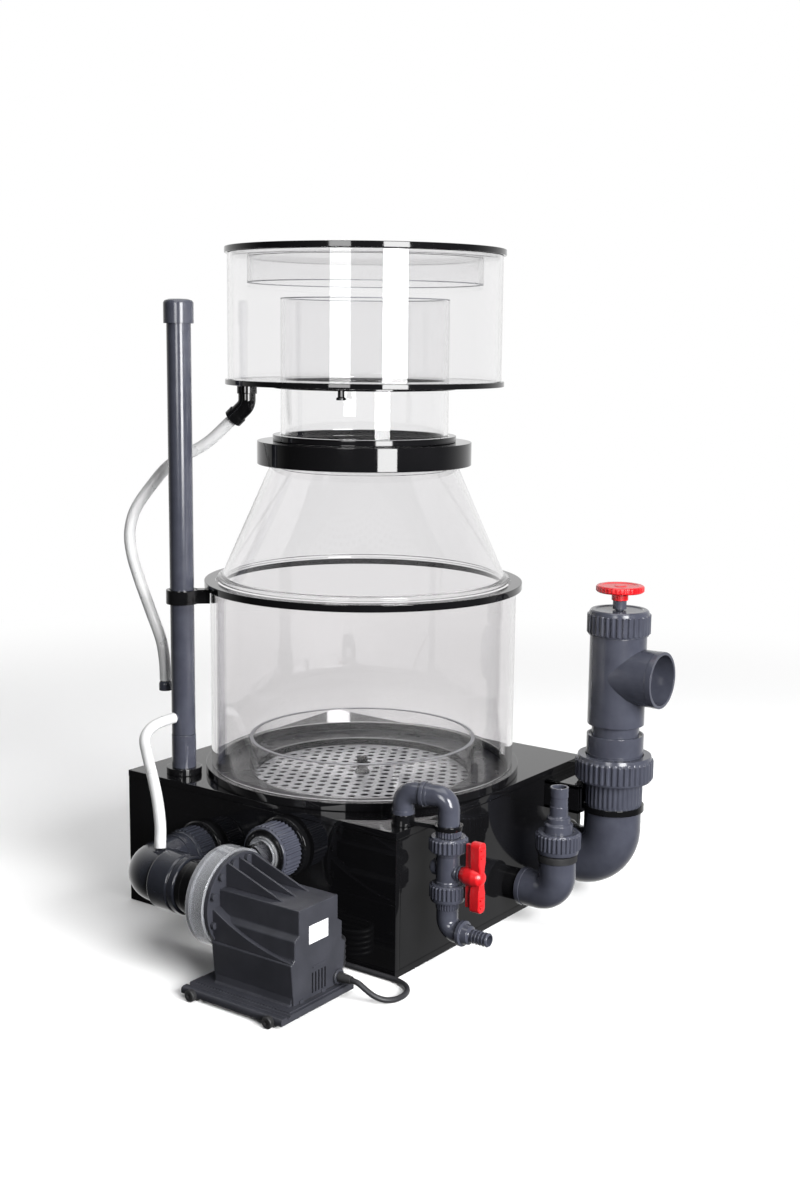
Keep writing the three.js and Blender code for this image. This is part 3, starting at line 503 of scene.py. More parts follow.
def pierced(outline, holes, axis, low, high, ease=0.4):
    """A flat plate with holes right through it: an outline and hole outlines given across the axis."""
    curve = bpy.data.curves.new("plate", "CURVE")
    curve.dimensions = "2D"
    curve.fill_mode = "BOTH"
    curve.extrude = (high - low) / 2 - ease
    curve.bevel_depth = ease
    curve.bevel_resolution = 1
    curve.offset = -ease
    for points in [outline, *holes]:
        spline = curve.splines.new("POLY")
        spline.points.add(len(points) - 1)
        for point, (a, b) in zip(spline.points, points):
            point.co = (a, b, 0, 1)
        spline.use_cyclic_u = True
    holder = bpy.data.objects.new("plate", curve)
    scene.collection.objects.link(holder)
    mesh = bpy.data.meshes.new_from_object(holder.evaluated_get(bpy.context.evaluated_depsgraph_get()))
    bpy.data.objects.remove(holder)
    bm = bmesh.new()
    bm.from_mesh(mesh)
    bpy.data.meshes.remove(mesh)
    bmesh.ops.remove_doubles(bm, verts=bm.verts, dist=1e-3)
    across, up, along = AXES[axis]
    middle = (low + high) / 2
    for v in bm.verts:
        v.co = across * v.co.x + up * v.co.y + along * (v.co.z + middle)
    return from_bmesh(bm)


def moved(shell, offset=(0, 0, 0), turn=0.0):
    """A shell turned about the vertical through the origin, then moved."""
    verts, faces = shell
    matrix = Matrix.Translation(offset) @ Matrix.Rotation(turn, 4, "Z")
    return [matrix @ v for v in verts], faces


SHARP = math.radians(35)


def piece(name, shells, material, body, *nodes, slot=None):
    """A mesh object made of closed shells, riding on a body and standing for CAD nodes."""
    verts, faces = [], []
    for shell_verts, shell_faces in shells:
        base = len(verts)
        verts += shell_verts
        faces += [tuple(i + base for i in face) for face in shell_faces]
    mesh = bpy.data.meshes.new(name)
    mesh.from_pydata([tuple(Vector(v) * MM) for v in verts], [], faces)
    bm = bmesh.new()
    bm.from_mesh(mesh)
    bmesh.ops.recalc_face_normals(bm, faces=bm.faces)
    bm.to_mesh(mesh)
    bm.free()
    mesh.materials.append(material)
    mesh.shade_smooth()
    mesh.set_sharp_from_angle(angle=SHARP)
    made = bpy.data.objects.new(name, mesh)
    scene.collection.objects.link(made)
    weigh = made.modifiers.new("flat faces stay flat", "WEIGHTED_NORMAL")
    weigh.mode = "FACE_AREA"
    weigh.weight = 100
    weigh.keep_sharp = True
    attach(made, body)
    if nodes:
        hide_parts(*nodes)
    return made


def smooth_route(points, per=10):
    """A centripetal spline through points, as a list of closely spaced points."""
    def between(p, q, start, end):
        return p * ((end - t) / (end - start)) + q * ((t - start) / (end - start))

    points = [Vector(p) for p in points]
    padded = [points[0] * 2 - points[1]] + points + [points[-1] * 2 - points[-2]]
    route = [points[0]]
    for a, b, c, d in zip(padded, padded[1:], padded[2:], padded[3:]):
        t0 = 0.0
        t1 = t0 + (b - a).length ** 0.5
        t2 = t1 + (c - b).length ** 0.5
        t3 = t2 + (d - c).length ** 0.5
        for k in range(1, per + 1):
            t = t1 + (t2 - t1) * k / per
            ab, bc, cd = between(a, b, t0, t1), between(b, c, t1, t2), between(c, d, t2, t3)
            route.append(between(between(ab, bc, t0, t2), between(bc, cd, t1, t3), t1, t2))
    return route


# Every shape is in millimetres; piece() and cord_curve() turn it into metres.
# ---------------------------------------------------------------- free cords and hoses
def stadium(left, right, y, bend, low, rise, turns):
    """Points of a rising hank that starts at the right end of its back straight and heads left."""
    straight = right - left
    arc = math.pi * bend
    lap = 2 * straight + 2 * arc
    count = int(turns * 44)
    points = []
    for k in range(count + 1):
        s = turns * lap * k / count
        z = low + rise * s / lap
        u = s % lap if k < count or turns % 1 else 0.0
        if u < straight:
            points.append(Vector((right - u, y + bend, z)))
        elif u < straight + arc:
            a = math.pi / 2 + (u - straight) / bend
            points.append(Vector((left + bend * math.cos(a), y + bend * math.sin(a), z)))
        elif u < 2 * straight + arc:
            points.append(Vector((left + u - straight - arc, y - bend, z)))
        else:
            a = -math.pi / 2 + (u - 2 * straight - arc) / bend
            points.append(Vector((right + bend * math.cos(a), y + bend * math.sin(a), z)))
    return points


def cord_curve(name, points, radius, material, body, *nodes, slot):
    """A round cord as one open spline through closely spaced points."""
    curve = bpy.data.curves.new(name, "CURVE")
    curve.dimensions = "3D"
    curve.bevel_depth = radius * MM
    curve.bevel_resolution = 6
    curve.use_fill_caps = True
    spline = curve.splines.new("POLY")
    spline.points.add(len(points) - 1)
    for point, at in zip(spline.points, points):
        point.co = (*(Vector(at) * MM), 1)
    curve.materials.append(material)
    made = bpy.data.objects.new(name, curve)
    scene.collection.objects.link(made)
    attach(made, body)
    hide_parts(*nodes)
    return made


def hose(name, points, radius, bore, material, body, node):
    """A hollow hose along a smooth route."""
    path = smooth_route(points, 6)
    tube = piece(name, [sweep(path, radius, bore, 32)], material, body, node)
    return tube, path


cup_hose_route = [
    (-139.3, -98.2, 638), (-169.5, -115.1, 606.6), (-212.7, -139, 577.4), (-231.4, -152.5, 551.7),
    (-247.4, -169, 517.8), (-250.6, -176.2, 489.6), (-245.9, -177.8, 461.6), (-235.4, -175.1, 427.8),
    (-221.5, -170, 388.4), (-207.7, -164.9, 348.7), (-202.6, -164.4, 322), (-201.1, -165, 308),
    (-200.9, -165, 296),
]
cup_hose, cup_hose_path = hose("cup_hose", cup_hose_route, 7.5, 5, HOSE, "cup", "cup_drain_hose")
fitting_low, fitting_high, fitting_mid = place("hose_end_fitting")
fitting = piece("cup_hose_fitting", [
    lathe([(4, fitting_low.z), (8.5, fitting_low.z), (8.5, fitting_high.z - 3.3), (7, fitting_high.z),
        (4, fitting_high.z)], (fitting_mid.x, fitting_mid.y, 0), "Z", 24, 0.5),
], PVC, "cup", "hose_end_fitting")

air_hose_route = [
    (-164, -188.4, 255), (-164.2, -196, 255), (-169.5, -220.3, 249.5), (-164.5, -239.9, 239.7),
    (-143.7, -256.9, 222.8), (-119.6, -271.6, 200.7), (-99.6, -284.3, 177.9), (-82.5, -297.5, 154),
    (-71, -309.5, 140), (-69.5, -311.3, 131.8),
]
air_hose, air_hose_path = hose("air_line", air_hose_route, 7, 4.6, HOSE, BODY, "air_hose")

CORD_RADIUS = 3.4
HANK = {"left": 42, "right": 124, "y": -234.5, "bend": 22}
lead_route = smooth_route([
    (200, -280.3, 22.4), (209, -280.1, 21.5), (219, -279, 16), (229, -275.5, 9.5), (238, -268.5, 5.2),
    (244, -258, 3.5), (246, -246, 3.4), (243.5, -234, 3.4), (237, -224, 3.4), (227.5, -217, 3.4),
    (215, -213.3, 3.4), (200, -212.5, 3.4), (182, -212.5, 3.4), (162, -212.5, 3.4), (141.6, -212.5, 3.4),
    (124, -212.5, 3.4),
], 5)
coil = stadium(**HANK, low=3.4, rise=6.87, turns=5)
sway = 27.5     # bend of the two arcs that bring the tail to the hank's middle
shift = math.acos(1 - HANK["bend"] / (2 * sway))
plug_cord_z = 47
tail_start = coil[-1]
tail = []
for k in range(1, 25):
    a = 2 * shift * k / 24
    if a <= shift:
        along, across = sway * math.sin(a), sway * (1 - math.cos(a))
    else:
        b = 2 * shift - a
        along = 2 * sway * math.sin(shift) - sway * math.sin(b)
        across = HANK["bend"] - sway * (1 - math.cos(b))
    t = k / 24
    lift = (plug_cord_z - tail_start.z) * t * t * (3 - 2 * t)
    tail.append(Vector((tail_start.x - along, tail_start.y - across, tail_start.z + lift)))
relief_end = tail[-1].x
tail += [Vector((relief_end - 6 * k, tail[-1].y, plug_cord_z)) for k in range(1, 3)]
lead_path = lead_route + coil[1:] + tail
lead = cord_curve("mains_lead", lead_path, CORD_RADIUS, SHEATH, BODY, "mains_cord", "cord_hank",
                  slot="cord_sheath")
plug_y = HANK["y"]
plug_at = (0, plug_y, plug_cord_z)
plug_right = relief_end - 24
plug = piece("lead_plug", [
    slab((plug_right - 33, plug_y - 20, plug_cord_z - 9), (plug_right, plug_y + 20, plug_cord_z + 9), 4,
        5),
    lathe(lifted(plug_right, [(0, -4), (9, -4), (7, 3), (6.4, 8), (5.4, 16), (4.3, 25), (0, 25)]),
        plug_at, "X", 32, 0.8),
    *(rod(6.9 - 0.06 * (x - plug_right), x, x + 1.4, plug_at, "X", segments=32, ease=0.4)
        for x in (plug_right + 4, plug_right + 8, plug_right + 12)),
], PLUG, BODY, "mains_plug")
pins = piece("plug_pins", [
    slab((plug_right - 51, y - 1, plug_cord_z - 3.2), (plug_right - 32, y + 1, plug_cord_z + 3.2),
    0.5) for y in (plug_y - 6.5, plug_y + 6.5)
], BRASS, BODY, "mains_plug")
tie_outer = HANK["bend"] + CORD_RADIUS + 1.0
tie = piece("hank_tie", [
    slab((84, plug_y - tie_outer, z), (92, plug_y + tie_outer, z + 1.2), 0.3) for z in (0.0, 41.6)
] + [
    slab((84, y, 0), (92, y + 1.2, 42.8), 0.3) for y in (plug_y - tie_outer, plug_y + tie_outer - 1.2)
], RUBBER, BODY, "cord_hank")


# ---------------------------------------------------------------- base
front_ports = [
    (place(node)[2].x, place(node)[2].z, bore)
    for node, bore in (("suction_nut", 22), ("discharge_nut", 13.5))
]
base_low, base_high, _ = place("base_top_plate")
DRAIN_AT = (191.8, -171.8)     # where the drain line stands on the top plate
wall = 9                       # thickness of the base's sheets
joint = 0.3                    # the gap left between glued sheets
low_z = wall + 0.2
plate_bottom = base_low.z
high_z = plate_bottom - joint
left, right = base_low.x, base_high.x
front, back = base_low.y, base_high.y
tube_low, tube_high, tube_mid = place("body_tube")
flange_low, flange_high, _ = place("body_flange")
feed_x, feed_y, feed_z = place("feed_nut")[2].x, place("feed_elbow")[2].y, 47
outlet_outer = 37.5            # outer radius of the outlet elbow
outlet_x, outlet_y, _ = place("outlet_tail")[2]
outlet_z = place("outlet_elbow")[0].z + outlet_outer
shell_parts = [
    slab((left, front, 0), (right, back, wall), 0.7),
    pierced(rectangle(left, low_z, right, high_z), [circle(x, z, bore) for x, z, bore in front_ports],
            "Y", front, front + wall, 0.7),
    slab((left, back - wall, low_z), (right, back, high_z), 0.7),
    slab((left, front + wall + 0.2, low_z), (left + wall, back - wall - 0.2, high_z), 0.7),
    pierced(rectangle(front + wall + 0.2, low_z, back - wall - 0.2, high_z),
            [circle(feed_y, feed_z, 16), circle(outlet_y, outlet_z, 28)], "X", right - wall, right, 0.7),
    pipe(20.7, 16, right - 0.5, right + 19, (0, feed_y, feed_z), "X"),
    lathe(lifted(right, [(28, -0.5), (43, -0.5), (43, 6), (41, 8), (28, 8)]), (0, outlet_y, outlet_z), "X",
          ease=0.4),
]
for x, z, bore in front_ports:
    collar = lifted(front, [(bore, -9.5), (36, -9.5), (38, -7.5), (38, 0.5), (bore, 0.5)])
    shell_parts.append(lathe(collar, (x, 0, z), "Y", ease=0.4))
piece("base_walls", shell_parts, BLACK, BODY, "base_shell")

piece("top_plate", [
    pierced(rectangle(left, front, right, back), [circle(tube_mid.x, tube_mid.y, 143, 128),
        circle(*DRAIN_AT, 6, 24)], "Z", plate_bottom, base_high.z, 0.8),
], BLACK, BODY, "base_top_plate")

shelf_low, shelf_high, _ = place("outlet_shelf")
shelf_high.x = shelf_low.x + 51.7
shelf_wall = 4.5


def bitten(radius):
    """The shelf's outline with a bite for the outlet pipe."""
    reach = math.sqrt(radius ** 2 - (shelf_high.x - outlet_x) ** 2)
    start = math.atan2(-reach, shelf_high.x - outlet_x)
    turn = -(2 * math.pi - 2 * abs(start))
    arc = [(outlet_x + radius * math.cos(start + turn * k / 40),
            outlet_y + radius * math.sin(start + turn * k / 40))
           for k in range(41)]
    return [(shelf_low.x, shelf_low.y), (shelf_high.x, shelf_low.y), *arc,
            (shelf_high.x, shelf_high.y), (shelf_low.x, shelf_high.y)]


piece("shelf", [
    extruded(bitten(45), "Z", shelf_high.z - shelf_wall, shelf_high.z, 0.5),
    extruded(bitten(38.6), "Z", shelf_low.z, shelf_low.z + shelf_wall, 0.5),
    slab(shelf_low, (shelf_high.x, shelf_low.y + shelf_wall, shelf_high.z), 0.5),
    slab((shelf_low.x, shelf_high.y - shelf_wall, shelf_low.z), shelf_high, 0.5),
    slab((shelf_high.x - shelf_wall, shelf_low.y + 1, shelf_low.z + 1),
        (shelf_high.x, outlet_y - 41, shelf_high.z - 1), 0.5),
    slab((shelf_high.x - shelf_wall, outlet_y + 41, shelf_low.z + 1),
        (shelf_high.x, shelf_high.y - 1, shelf_high.z - 1), 0.5),
    pipe(41, 37.8, shelf_low.z, shelf_low.z + 8, (outlet_x, outlet_y, 0)),
], BLACK, BODY, "outlet_shelf")

# ---------------------------------------------------------------- body
tube_outer, tube_inner = 200, 194.5
flange_outer = 207.5
piece("lower_flange", [
    pipe(flange_outer, tube_inner, flange_low.z, flange_high.z, ease=0.9, steps=3, segments=192),
], BLACK, BODY, "body_flange")
piece("reaction_tube", [
    pipe(tube_outer, tube_inner, tube_low.z, tube_high.z, segments=192),
], CLEAR_THICK_AND_SHADED, BODY, "body_tube")
top_low, top_high, _ = place("body_top_flange")
ring_low = tube_high.z + joint
riser_x, riser_y = place("riser_cap")[2].x, place("riser_cap")[2].y
clip_reach = math.hypot(riser_x, riser_y)
clip_angle = math.atan2(riser_y, riser_x)
clip_high = top_low.z + 18.3
clip_parts = [
    slab((200.8, -8, top_low.z), (clip_reach - 16.5, 8, clip_high), 0.8),
    slab((200.8, -8, top_low.z), (207, 8, ring_low + 2), 0.8),
    pipe(20.5, 15.9, top_low.z, clip_high, (clip_reach, 0, 0), segments=64, ease=0.8),
]
piece("upper_flange", [
    pipe(flange_outer, 192, ring_low, top_high.z, ease=0.9, steps=3, segments=192),
    *(moved(part, turn=clip_angle) for part in clip_parts),
], BLACK, BODY, "body_top_flange")

cone_low, cone_high, _ = place("body_cone")
shoulder, neck_bottom = cone_low.z + 5.7, cone_high.z - 16.7
piece("cone", [
    lathe([(180, cone_low.z), (190, cone_low.z), (190, shoulder), (185, shoulder),
        (124.5, neck_bottom - 9), (120, neck_bottom), (120, cone_high.z), (110.5, cone_high.z),
        (110.5, cone_high.z - 3), (115, cone_high.z - 6), (115, neck_bottom), (119.5, neck_bottom - 10),
        (180, shoulder)], ease=1.2, steps=3, segments=192),
], CLEAR_CONE_SHADED, BODY, "body_cone")
collar_low, collar_high, _ = place("neck_collar")
piece("collar", [
    lathe([(120.6, collar_low.z), (138.5, collar_low.z), (138.5, collar_high.z), (110.5, collar_high.z),
        (110.5, collar_high.z - 5.6), (120.6, collar_high.z - 5.6)], ease=1.0, steps=3, segments=192),
], BLACK, BODY, "neck_collar")
oring_mid = place("neck_oring")[2]
piece("oring", [
    lathe(circle(111.4, oring_mid.z, 2.9, 16), ease=0.01, steps=1, segments=128),
], RUBBER, BODY, "neck_oring")

plate_high = place("diffuser_plate")[1]
plate_top = plate_bottom - joint
pitch, hole = 17.6, 5.3
holes = []
for row in range(-9, 10):
    for i in range(-9, 10):
        x, y = (i + (row % 2) / 2) * pitch, row * pitch * math.sin(math.pi / 3)
        if 14 < math.hypot(x, y) < 140:
            holes.append(circle(x, y, hole, 16))
piece("perforated_plate", [
    pierced(circle(0, 0, 151.5, 128), holes, "Z", plate_top - 0.9, plate_top, 0.2),
], PERFORATED, BODY, "diffuser_plate")
# Painted shade: a black layer under the grey skin, with the same holes, so that the holes' walls read dark.
piece("plate_painted_shade", [
    pierced(circle(0, 0, 152, 128), holes, "Z", plate_top - 5, plate_top - 1, 0.2),
], GASKET_AND_SHADE_BLACK, BODY, "diffuser_plate", slot="diffuser_grey")
piece("plate_knob", [
    lathe(lifted(plate_top, [(0, 0), (10, 0), (10, 3), (7, 6), (6, 10), (0, 10)])),
    slab((-8, -2.5, plate_top + 5), (8, 2.5, plate_high.z + 6), 1.6, 3),
    slab((-2.5, -8, plate_top + 5), (2.5, 8, plate_high.z + 6), 1.6, 3),
], BLACK, BODY, "diffuser_plate")
piece("floor_gasket", [
    pipe(194, 144, base_high.z, base_high.z + 0.25, segments=160, ease=0.1),
], GASKET_AND_SHADE_BLACK, BODY, "base_top_plate", slot="black_rubber")
baffle_low, baffle_high, _ = place("diffuser_ring")
piece("inner_ring", [
    pipe(149.7, 145, baffle_low.z, baffle_high.z - 0.7, segments=160),
], CLEAR, BODY, "diffuser_ring")
piece("inner_ring_edge", [
    pipe(149.7, 145, baffle_high.z - 0.6, baffle_high.z, segments=160, ease=0.3),
], EDGE_AND_SHADE, BODY, "diffuser_ring")

# ---------------------------------------------------------------- collection cup and lid
NECK_BORE = 108.3       # bore of the rings round the neck tube
DISC_OUTER = 178.7      # the cup's floor and the lid's rim
CUP_DRAIN_AT = (-120, -92)
neck_low, neck_high, _ = place("neck_tube")
piece("cup_neck", [
    pipe(108, 103, neck_low.z, neck_high.z - 1.2, segments=160),
], CLEAR, "cup", "neck_tube")
piece("cup_neck_edge", [
    pipe(108, 103, neck_high.z - 1.1, neck_high.z, segments=160, ease=0.3),
], EDGE_AND_SHADE, "cup", "neck_tube")
stop_low, stop_high, _ = place("neck_stop_ring")
piece("stop_ring", [
    pipe(118.4, NECK_BORE, stop_low.z, stop_high.z, ease=0.9, steps=3, segments=160),
], BLACK, "cup", "neck_stop_ring")
floor_low, floor_high, _ = place("cup_floor")
floor_bottom = floor_high.z - 6.7
piece("cup_base", [
    pierced(circle(0, 0, DISC_OUTER, 192), [circle(0, 0, NECK_BORE, 128), circle(*CUP_DRAIN_AT, 8, 32)],
        "Z", floor_bottom, floor_high.z, 0.8),
    pipe(118, NECK_BORE, floor_bottom - 4.3, floor_bottom + 0.5, ease=0.8, segments=160),
], BLACK, "cup", "cup_floor")
# Painted shade: the clear peg is made black so that its sides read dark; the lamps give its light middle
# line.
piece("cup_peg", [
    lathe([*lifted(floor_low.z, [(0, 0), (6, 0), (6, 2.6), (4.1, 3.6)]), *lifted(floor_bottom,
        [(4.1, -2.4), (5.6, -1.6), (5.6, 0.4), (0, 0.4)])], (57, -122, 0), "Z", 48, 0.4),
], BLACK, "cup", "cup_floor")
wall_low, wall_high, _ = place("cup_wall")
seam_at = math.radians(218)
piece("cup_side", [pipe(174.9, 170, wall_low.z, wall_high.z, segments=192)], CLEAR, "cup", "cup_wall")
piece("cup_seam", [
    moved(slab((170.2, -0.9, wall_low.z), (175.4, 0.9, wall_high.z), 0.3), turn=seam_at),
], CLEAR, "cup", "cup_wall")
elbow_high = place("cup_drain_elbow")[1]
elbow_top = Vector((*CUP_DRAIN_AT, elbow_high.z))
elbow_corner = Vector((*CUP_DRAIN_AT, 657))
hose_start = Vector(cup_hose_route[0])
inward = (elbow_corner - hose_start).normalized()
elbow_end = hose_start + inward * 0.3
piece("cup_elbow", [
    sweep(elbow_path(elbow_top, elbow_corner, elbow_end, 16), 11.2, 8, 48),
    pipe(12.8, 10.5, elbow_high.z - 12, elbow_high.z, (*CUP_DRAIN_AT, 0)),
    sweep([elbow_end, elbow_end + inward * 5, elbow_end + inward * 10], 12.8, 7.6, 48),
], BLACK, "cup", "cup_drain_elbow")
rim_low, rim_high, _ = place("lid_ring")
piece("lid_rim", [
    pipe(DISC_OUTER, 150, rim_low.z, rim_high.z, ease=0.9, steps=3, segments=192),
], BLACK, "lid", "lid_ring")
lid_low, lid_high, _ = place("lid_plate")
piece("lid_disc", [
    lathe([(0, lid_high.z - 4.5), (146, lid_high.z - 4.5), (146, lid_low.z), (150, lid_low.z),
        (150, lid_high.z - 4.5), (169.3, lid_high.z - 4.5), (169.3, lid_high.z), (0, lid_high.z)],
        ease=0.6, segments=192),
], CLEAR, "lid", "lid_plate")
piece("lid_skirt_edge", [
    pipe(150, 146, lid_low.z - 0.9, lid_low.z - 0.1, segments=160, ease=0.25),
], EDGE_AND_SHADE, "lid", "lid_plate")

# ---------------------------------------------------------------- air riser
socket_low, socket_high, _ = place("riser_socket")
pipe_low, pipe_high, _ = place("riser_pipe")
cap_low, cap_high, _ = place("riser_cap")
at_riser = (riser_x, riser_y, 0)
piece("riser_foot", [
    lathe(lifted(socket_low.z, [(0, 0), (23, 0), (23, 8.8), (16.2, 8.8), (0, 8.8)]), at_riser, "Z", 64,
        0.8),
], BLACK, BODY, "riser_socket")
piece("riser_base", [
    lathe([(12.6, 190), (15.8, 187), (15.8, socket_high.z), (12.6, socket_high.z)], at_riser, "Z", 64,
        0.8),
], PVC, BODY, "riser_socket")
nozzle = lathe([(2.5, -17.5), (5.2, -17.5), (6, -16.6), (6, -13), (2.5, -13)], (riser_x, riser_y, 255),
    "Y", 32, 0.3)
piece("riser_tube", [
    pipe(15.4, 12.6, pipe_low.z, pipe_high.z - 1, at_riser, segments=64),
    nozzle,
], PVC, BODY, "riser_pipe")
piece("riser_top", [
    lathe([(16.2, cap_low.z), (19, cap_low.z), *lifted(cap_high.z, [(19, -5), (17.4, -2.2), (12, -0.4),
        (0, 0), (0, -4), (16.2, -4)])], at_riser, "Z", 64, 0.7),
], PVC, BODY, "riser_cap")

# ---------------------------------------------------------------- drain line and ball valve
drain_turn = math.radians(11.7)
valve_mid = place("drain_top_nut")[2]
valve_at = (valve_mid.x, valve_mid.y, 0)
reach = 58
top_z = 218.8


def on_drain(shell):
    return moved(shell, (*DRAIN_AT, 0), drain_turn)


piece("drain_foot", [
    on_drain(pipe(13.65, 6, base_high.z + joint, base_high.z + 13.6, segments=48)),
    on_drain(pipe(14.6, 13, base_high.z + joint, base_high.z + 3.6)),
    on_drain(slab((8, -8, 180.6), (reach - 13.8, 8, 186), 0.8)),
    on_drain(pipe(17, 13.3, 180.6, 186, (reach, 0, 0), segments=64)),
], BLACK, BODY, "drain_collar")
half = reach / 2 - 0.15
piece("drain_bend_in", [
    on_drain(sweep(elbow_path((0, 0, 192.3), (0, 0, top_z), (half, 0, top_z), 15), 13.1, 9.5)),
    on_drain(pipe(13.9, 12.8, 192.3, 197.5, segments=64)),
    on_drain(pipe(15, 12.9, half - 5, half, (0, 0, top_z), "X", segments=64, ease=0.8)),
], PVC, BODY, "drain_inner_elbow")
piece("drain_bend_out", [
    on_drain(sweep(elbow_path((reach - half, 0, top_z), (reach, 0, top_z), (reach, 0, 186.4), 15), 13.1,
        9.5)),
    on_drain(pipe(13.9, 12.9, reach - half, reach - half + 4, (0, 0, top_z), "X", segments=64)),
    on_drain(lathe([(9.5, 158), (12.7, 158), (12.7, 172.8), (14.2, 172.8, 0.9), (14.2, 179.6, 0.9),
        (12.7, 180), (12.7, 187), (9.5, 187)], (reach, 0, 0), ribs=26)),
], PVC, BODY, "drain_outer_elbow")


def ribbed_nut(radius, low, high, bore, at, axis="Z", ribs=28, plain_low=2.0, plain_high=2.0, depth=1.7):
    """A union nut: lengthwise ribs between two plain rims."""
    root = radius - depth
    return lathe([
        (bore, low), (root - 0.6, low), (root, low + plain_low * 0.5), (root, low + plain_low),
        (root, low + plain_low, depth), (root, high - plain_high, depth),
        (root - 0.4, high - plain_high * 0.6), (root - 1.2, high), (bore, high),
    ], at, axis, ease=0.5, ribs=ribs)


piece("drain_union_top", [
    ribbed_nut(23.35, 154.3, 172.3, 13.6, valve_at, ribs=26, plain_high=3.0),
], PVC, "drain_upper_union", "drain_top_nut")
piece("drain_union_bottom", [
    ribbed_nut(22, 94.3, 115.4, 13.7, valve_at, ribs=26, plain_low=5.0, plain_high=2.0),
], PVC, "drain_lower_union", "drain_bottom_nut")
valve_axis = (valve_mid.x, valve_mid.y, 130)
piece("valve_body", [
    lathe([(9.5, 111), (14.95, 111), (14.95, 118), (14.2, 119), (14.2, 149), (14.95, 150),
        (14.95, 157.7), (9.5, 157.7)], valve_at, "Z", 64, 0.6),
    lathe([(0, -22), (6.8, -22), (6.8, -18.5), (10, -18.5), (10, -12), (0, -12)],
        (valve_mid.x, valve_mid.y, 132), "X", 48, 0.7),
    lathe([(5, 11), (9.5, 11), (9.5, 14.5), (8.7, 15.2), (8.7, 16.4), (9.5, 17), (9.5, 19.2),
        (5, 19.2)], valve_axis, "X", 48, 0.5),
    slab((valve_mid.x + 10, valve_mid.y - 7, 121), (valve_mid.x + 13.5, valve_mid.y + 7, 139), 1.5, 3),
], PVC, BODY, "drain_valve_body")
piece("valve_ball", [
    lathe([(8, -8.4)] + [(11.6 * math.cos(a), 11.6 * math.sin(a)) for a in (math.radians(-44 + 8 * k)
        for k in range(12))] + [(8, 8.4)], valve_axis, "Z", 48, 0.1, 1),
    rod(4.3, 9, 19.2, valve_axis, "X", segments=32),
], PVC, "drain_valve", "drain_ball")


def lever_outline():
    """One wing lever seen along its axle: waisted at the axle and rounded at the tips."""
    up, down, width = 43, 42, 7.2
    side = [(4.8, 0), (5, 7), (5.8, 13), (width, 18), (width, up - 6), (6.4, up - 2.6), (4, up - 0.6),
            (0, up)]
    lower = [(4.8, 0), (5, -7), (5.8, -13), (width, -18), (width, 6 - down), (6.4, 2.6 - down),
             (4, 0.6 - down), (0, -down)]
    right_side = [(a, b) for a, b in reversed(lower)][:-1] + side
    left_side = [(-a, b) for a, b in reversed(right_side) if a > 0]
    return right_side + left_side


lever_far = place("drain_lever")[1].x - valve_mid.x
piece("valve_lever", [
    moved(extruded(lever_outline(), "X", lever_far - 15, lever_far - 1.4, 2.2, 4), valve_axis),
    *(moved(extruded([(-3.6, z - 2), (3.6, z - 2), (4.6, z), (3.6, z + 2), (-3.6, z + 2), (-4.6, z)],
        "X", lever_far - 2.4, lever_far, 0.8, 2), valve_axis) for z in (-34, -25, 26, 35)),
    lathe([(0, 19.5), (8.5, 19.5), (11, 27), (11.6, lever_far - 12), (10, lever_far - 4),
        (6, lever_far), (0, lever_far + 0.6)], valve_axis, "X", 64, 1.6, 4),
    moved(slab((26, -3, -38), (lever_far - 12, 3, 39), 1.4, 2), valve_axis),
], RED, "drain_valve", "drain_lever")
spout_z = 58
piece("drain_outlet", [
    sweep(elbow_path((*valve_at[:2], 110.7), (*valve_at[:2], spout_z),
        (valve_at[0] + 22, valve_at[1], spout_z), 15), 12.9, 9.5),
    lathe([(9.5, 84), (13.2, 84), (13.2, 86, 0.8), (13.2, 92.5, 0.8), (13.2, 94), (9.5, 94)], valve_at,
        "Z", ease=0.4, ribs=26),
    lathe([(5.8, 18), (13.6, 18), (15.3, 20), (15.3, 24.5), (12.4, 25.5), (11, 33), (8.2, 34)] + [(r, x)
        for k in range(5)
        for r, x in ((7.4, 35 + 4.6 * k), (8.3, 38.6 + 4.6 * k), (8.3, 39.4 + 4.6 * k))] + [(7.2, 59.4),
        (5.8, 59.4)], (valve_at[0], valve_at[1], spout_z), "X", 64, 0.35),
], PVC, BODY, "drain_spout")

# ---------------------------------------------------------------- feed line
at_feed = (feed_x, feed_y, 0)
stub = (right + 19.3, feed_y, feed_z)
piece("feed_bend", [
    sweep(elbow_path(stub, (feed_x, feed_y, feed_z), (feed_x, feed_y, 91.7), 25, 20), 23.7, 16, 72),
    pipe(24.6, 23, right + 19.3, right + 26, (0, feed_y, feed_z), "X", segments=96, ease=0.8),
], PVC, BODY, "feed_elbow")
piece("feed_seat", [
    lathe([(16, 92), (25, 92), (25, 101), (20, 101.3), (20, 118), (16, 118)], at_feed, "Z", 96, 0.8),
], RUBBER, BODY, "feed_clamp")
piece("feed_union", [
    ribbed_nut(29.2, 103, 130, 19.2, at_feed, ribs=30, plain_low=6.0, plain_high=3.0, depth=2.0),
], PVC, "feed_union", "feed_nut")
piece("feed_tail", [
    lathe([(9, 118.3), (18.4, 118.3), (18.4, 139.6), (17.2, 141), (15, 142), (15, 148.6), (12.6, 149.8),
        (11.7, 151), (11.7, 163), (11.2, 163.6), (11.2, 175), (11.7, 175.6), (11.7, 188), (9, 188)],
        at_feed, "Z", 64, 0.5),
], PVC, BODY, "feed_barb")

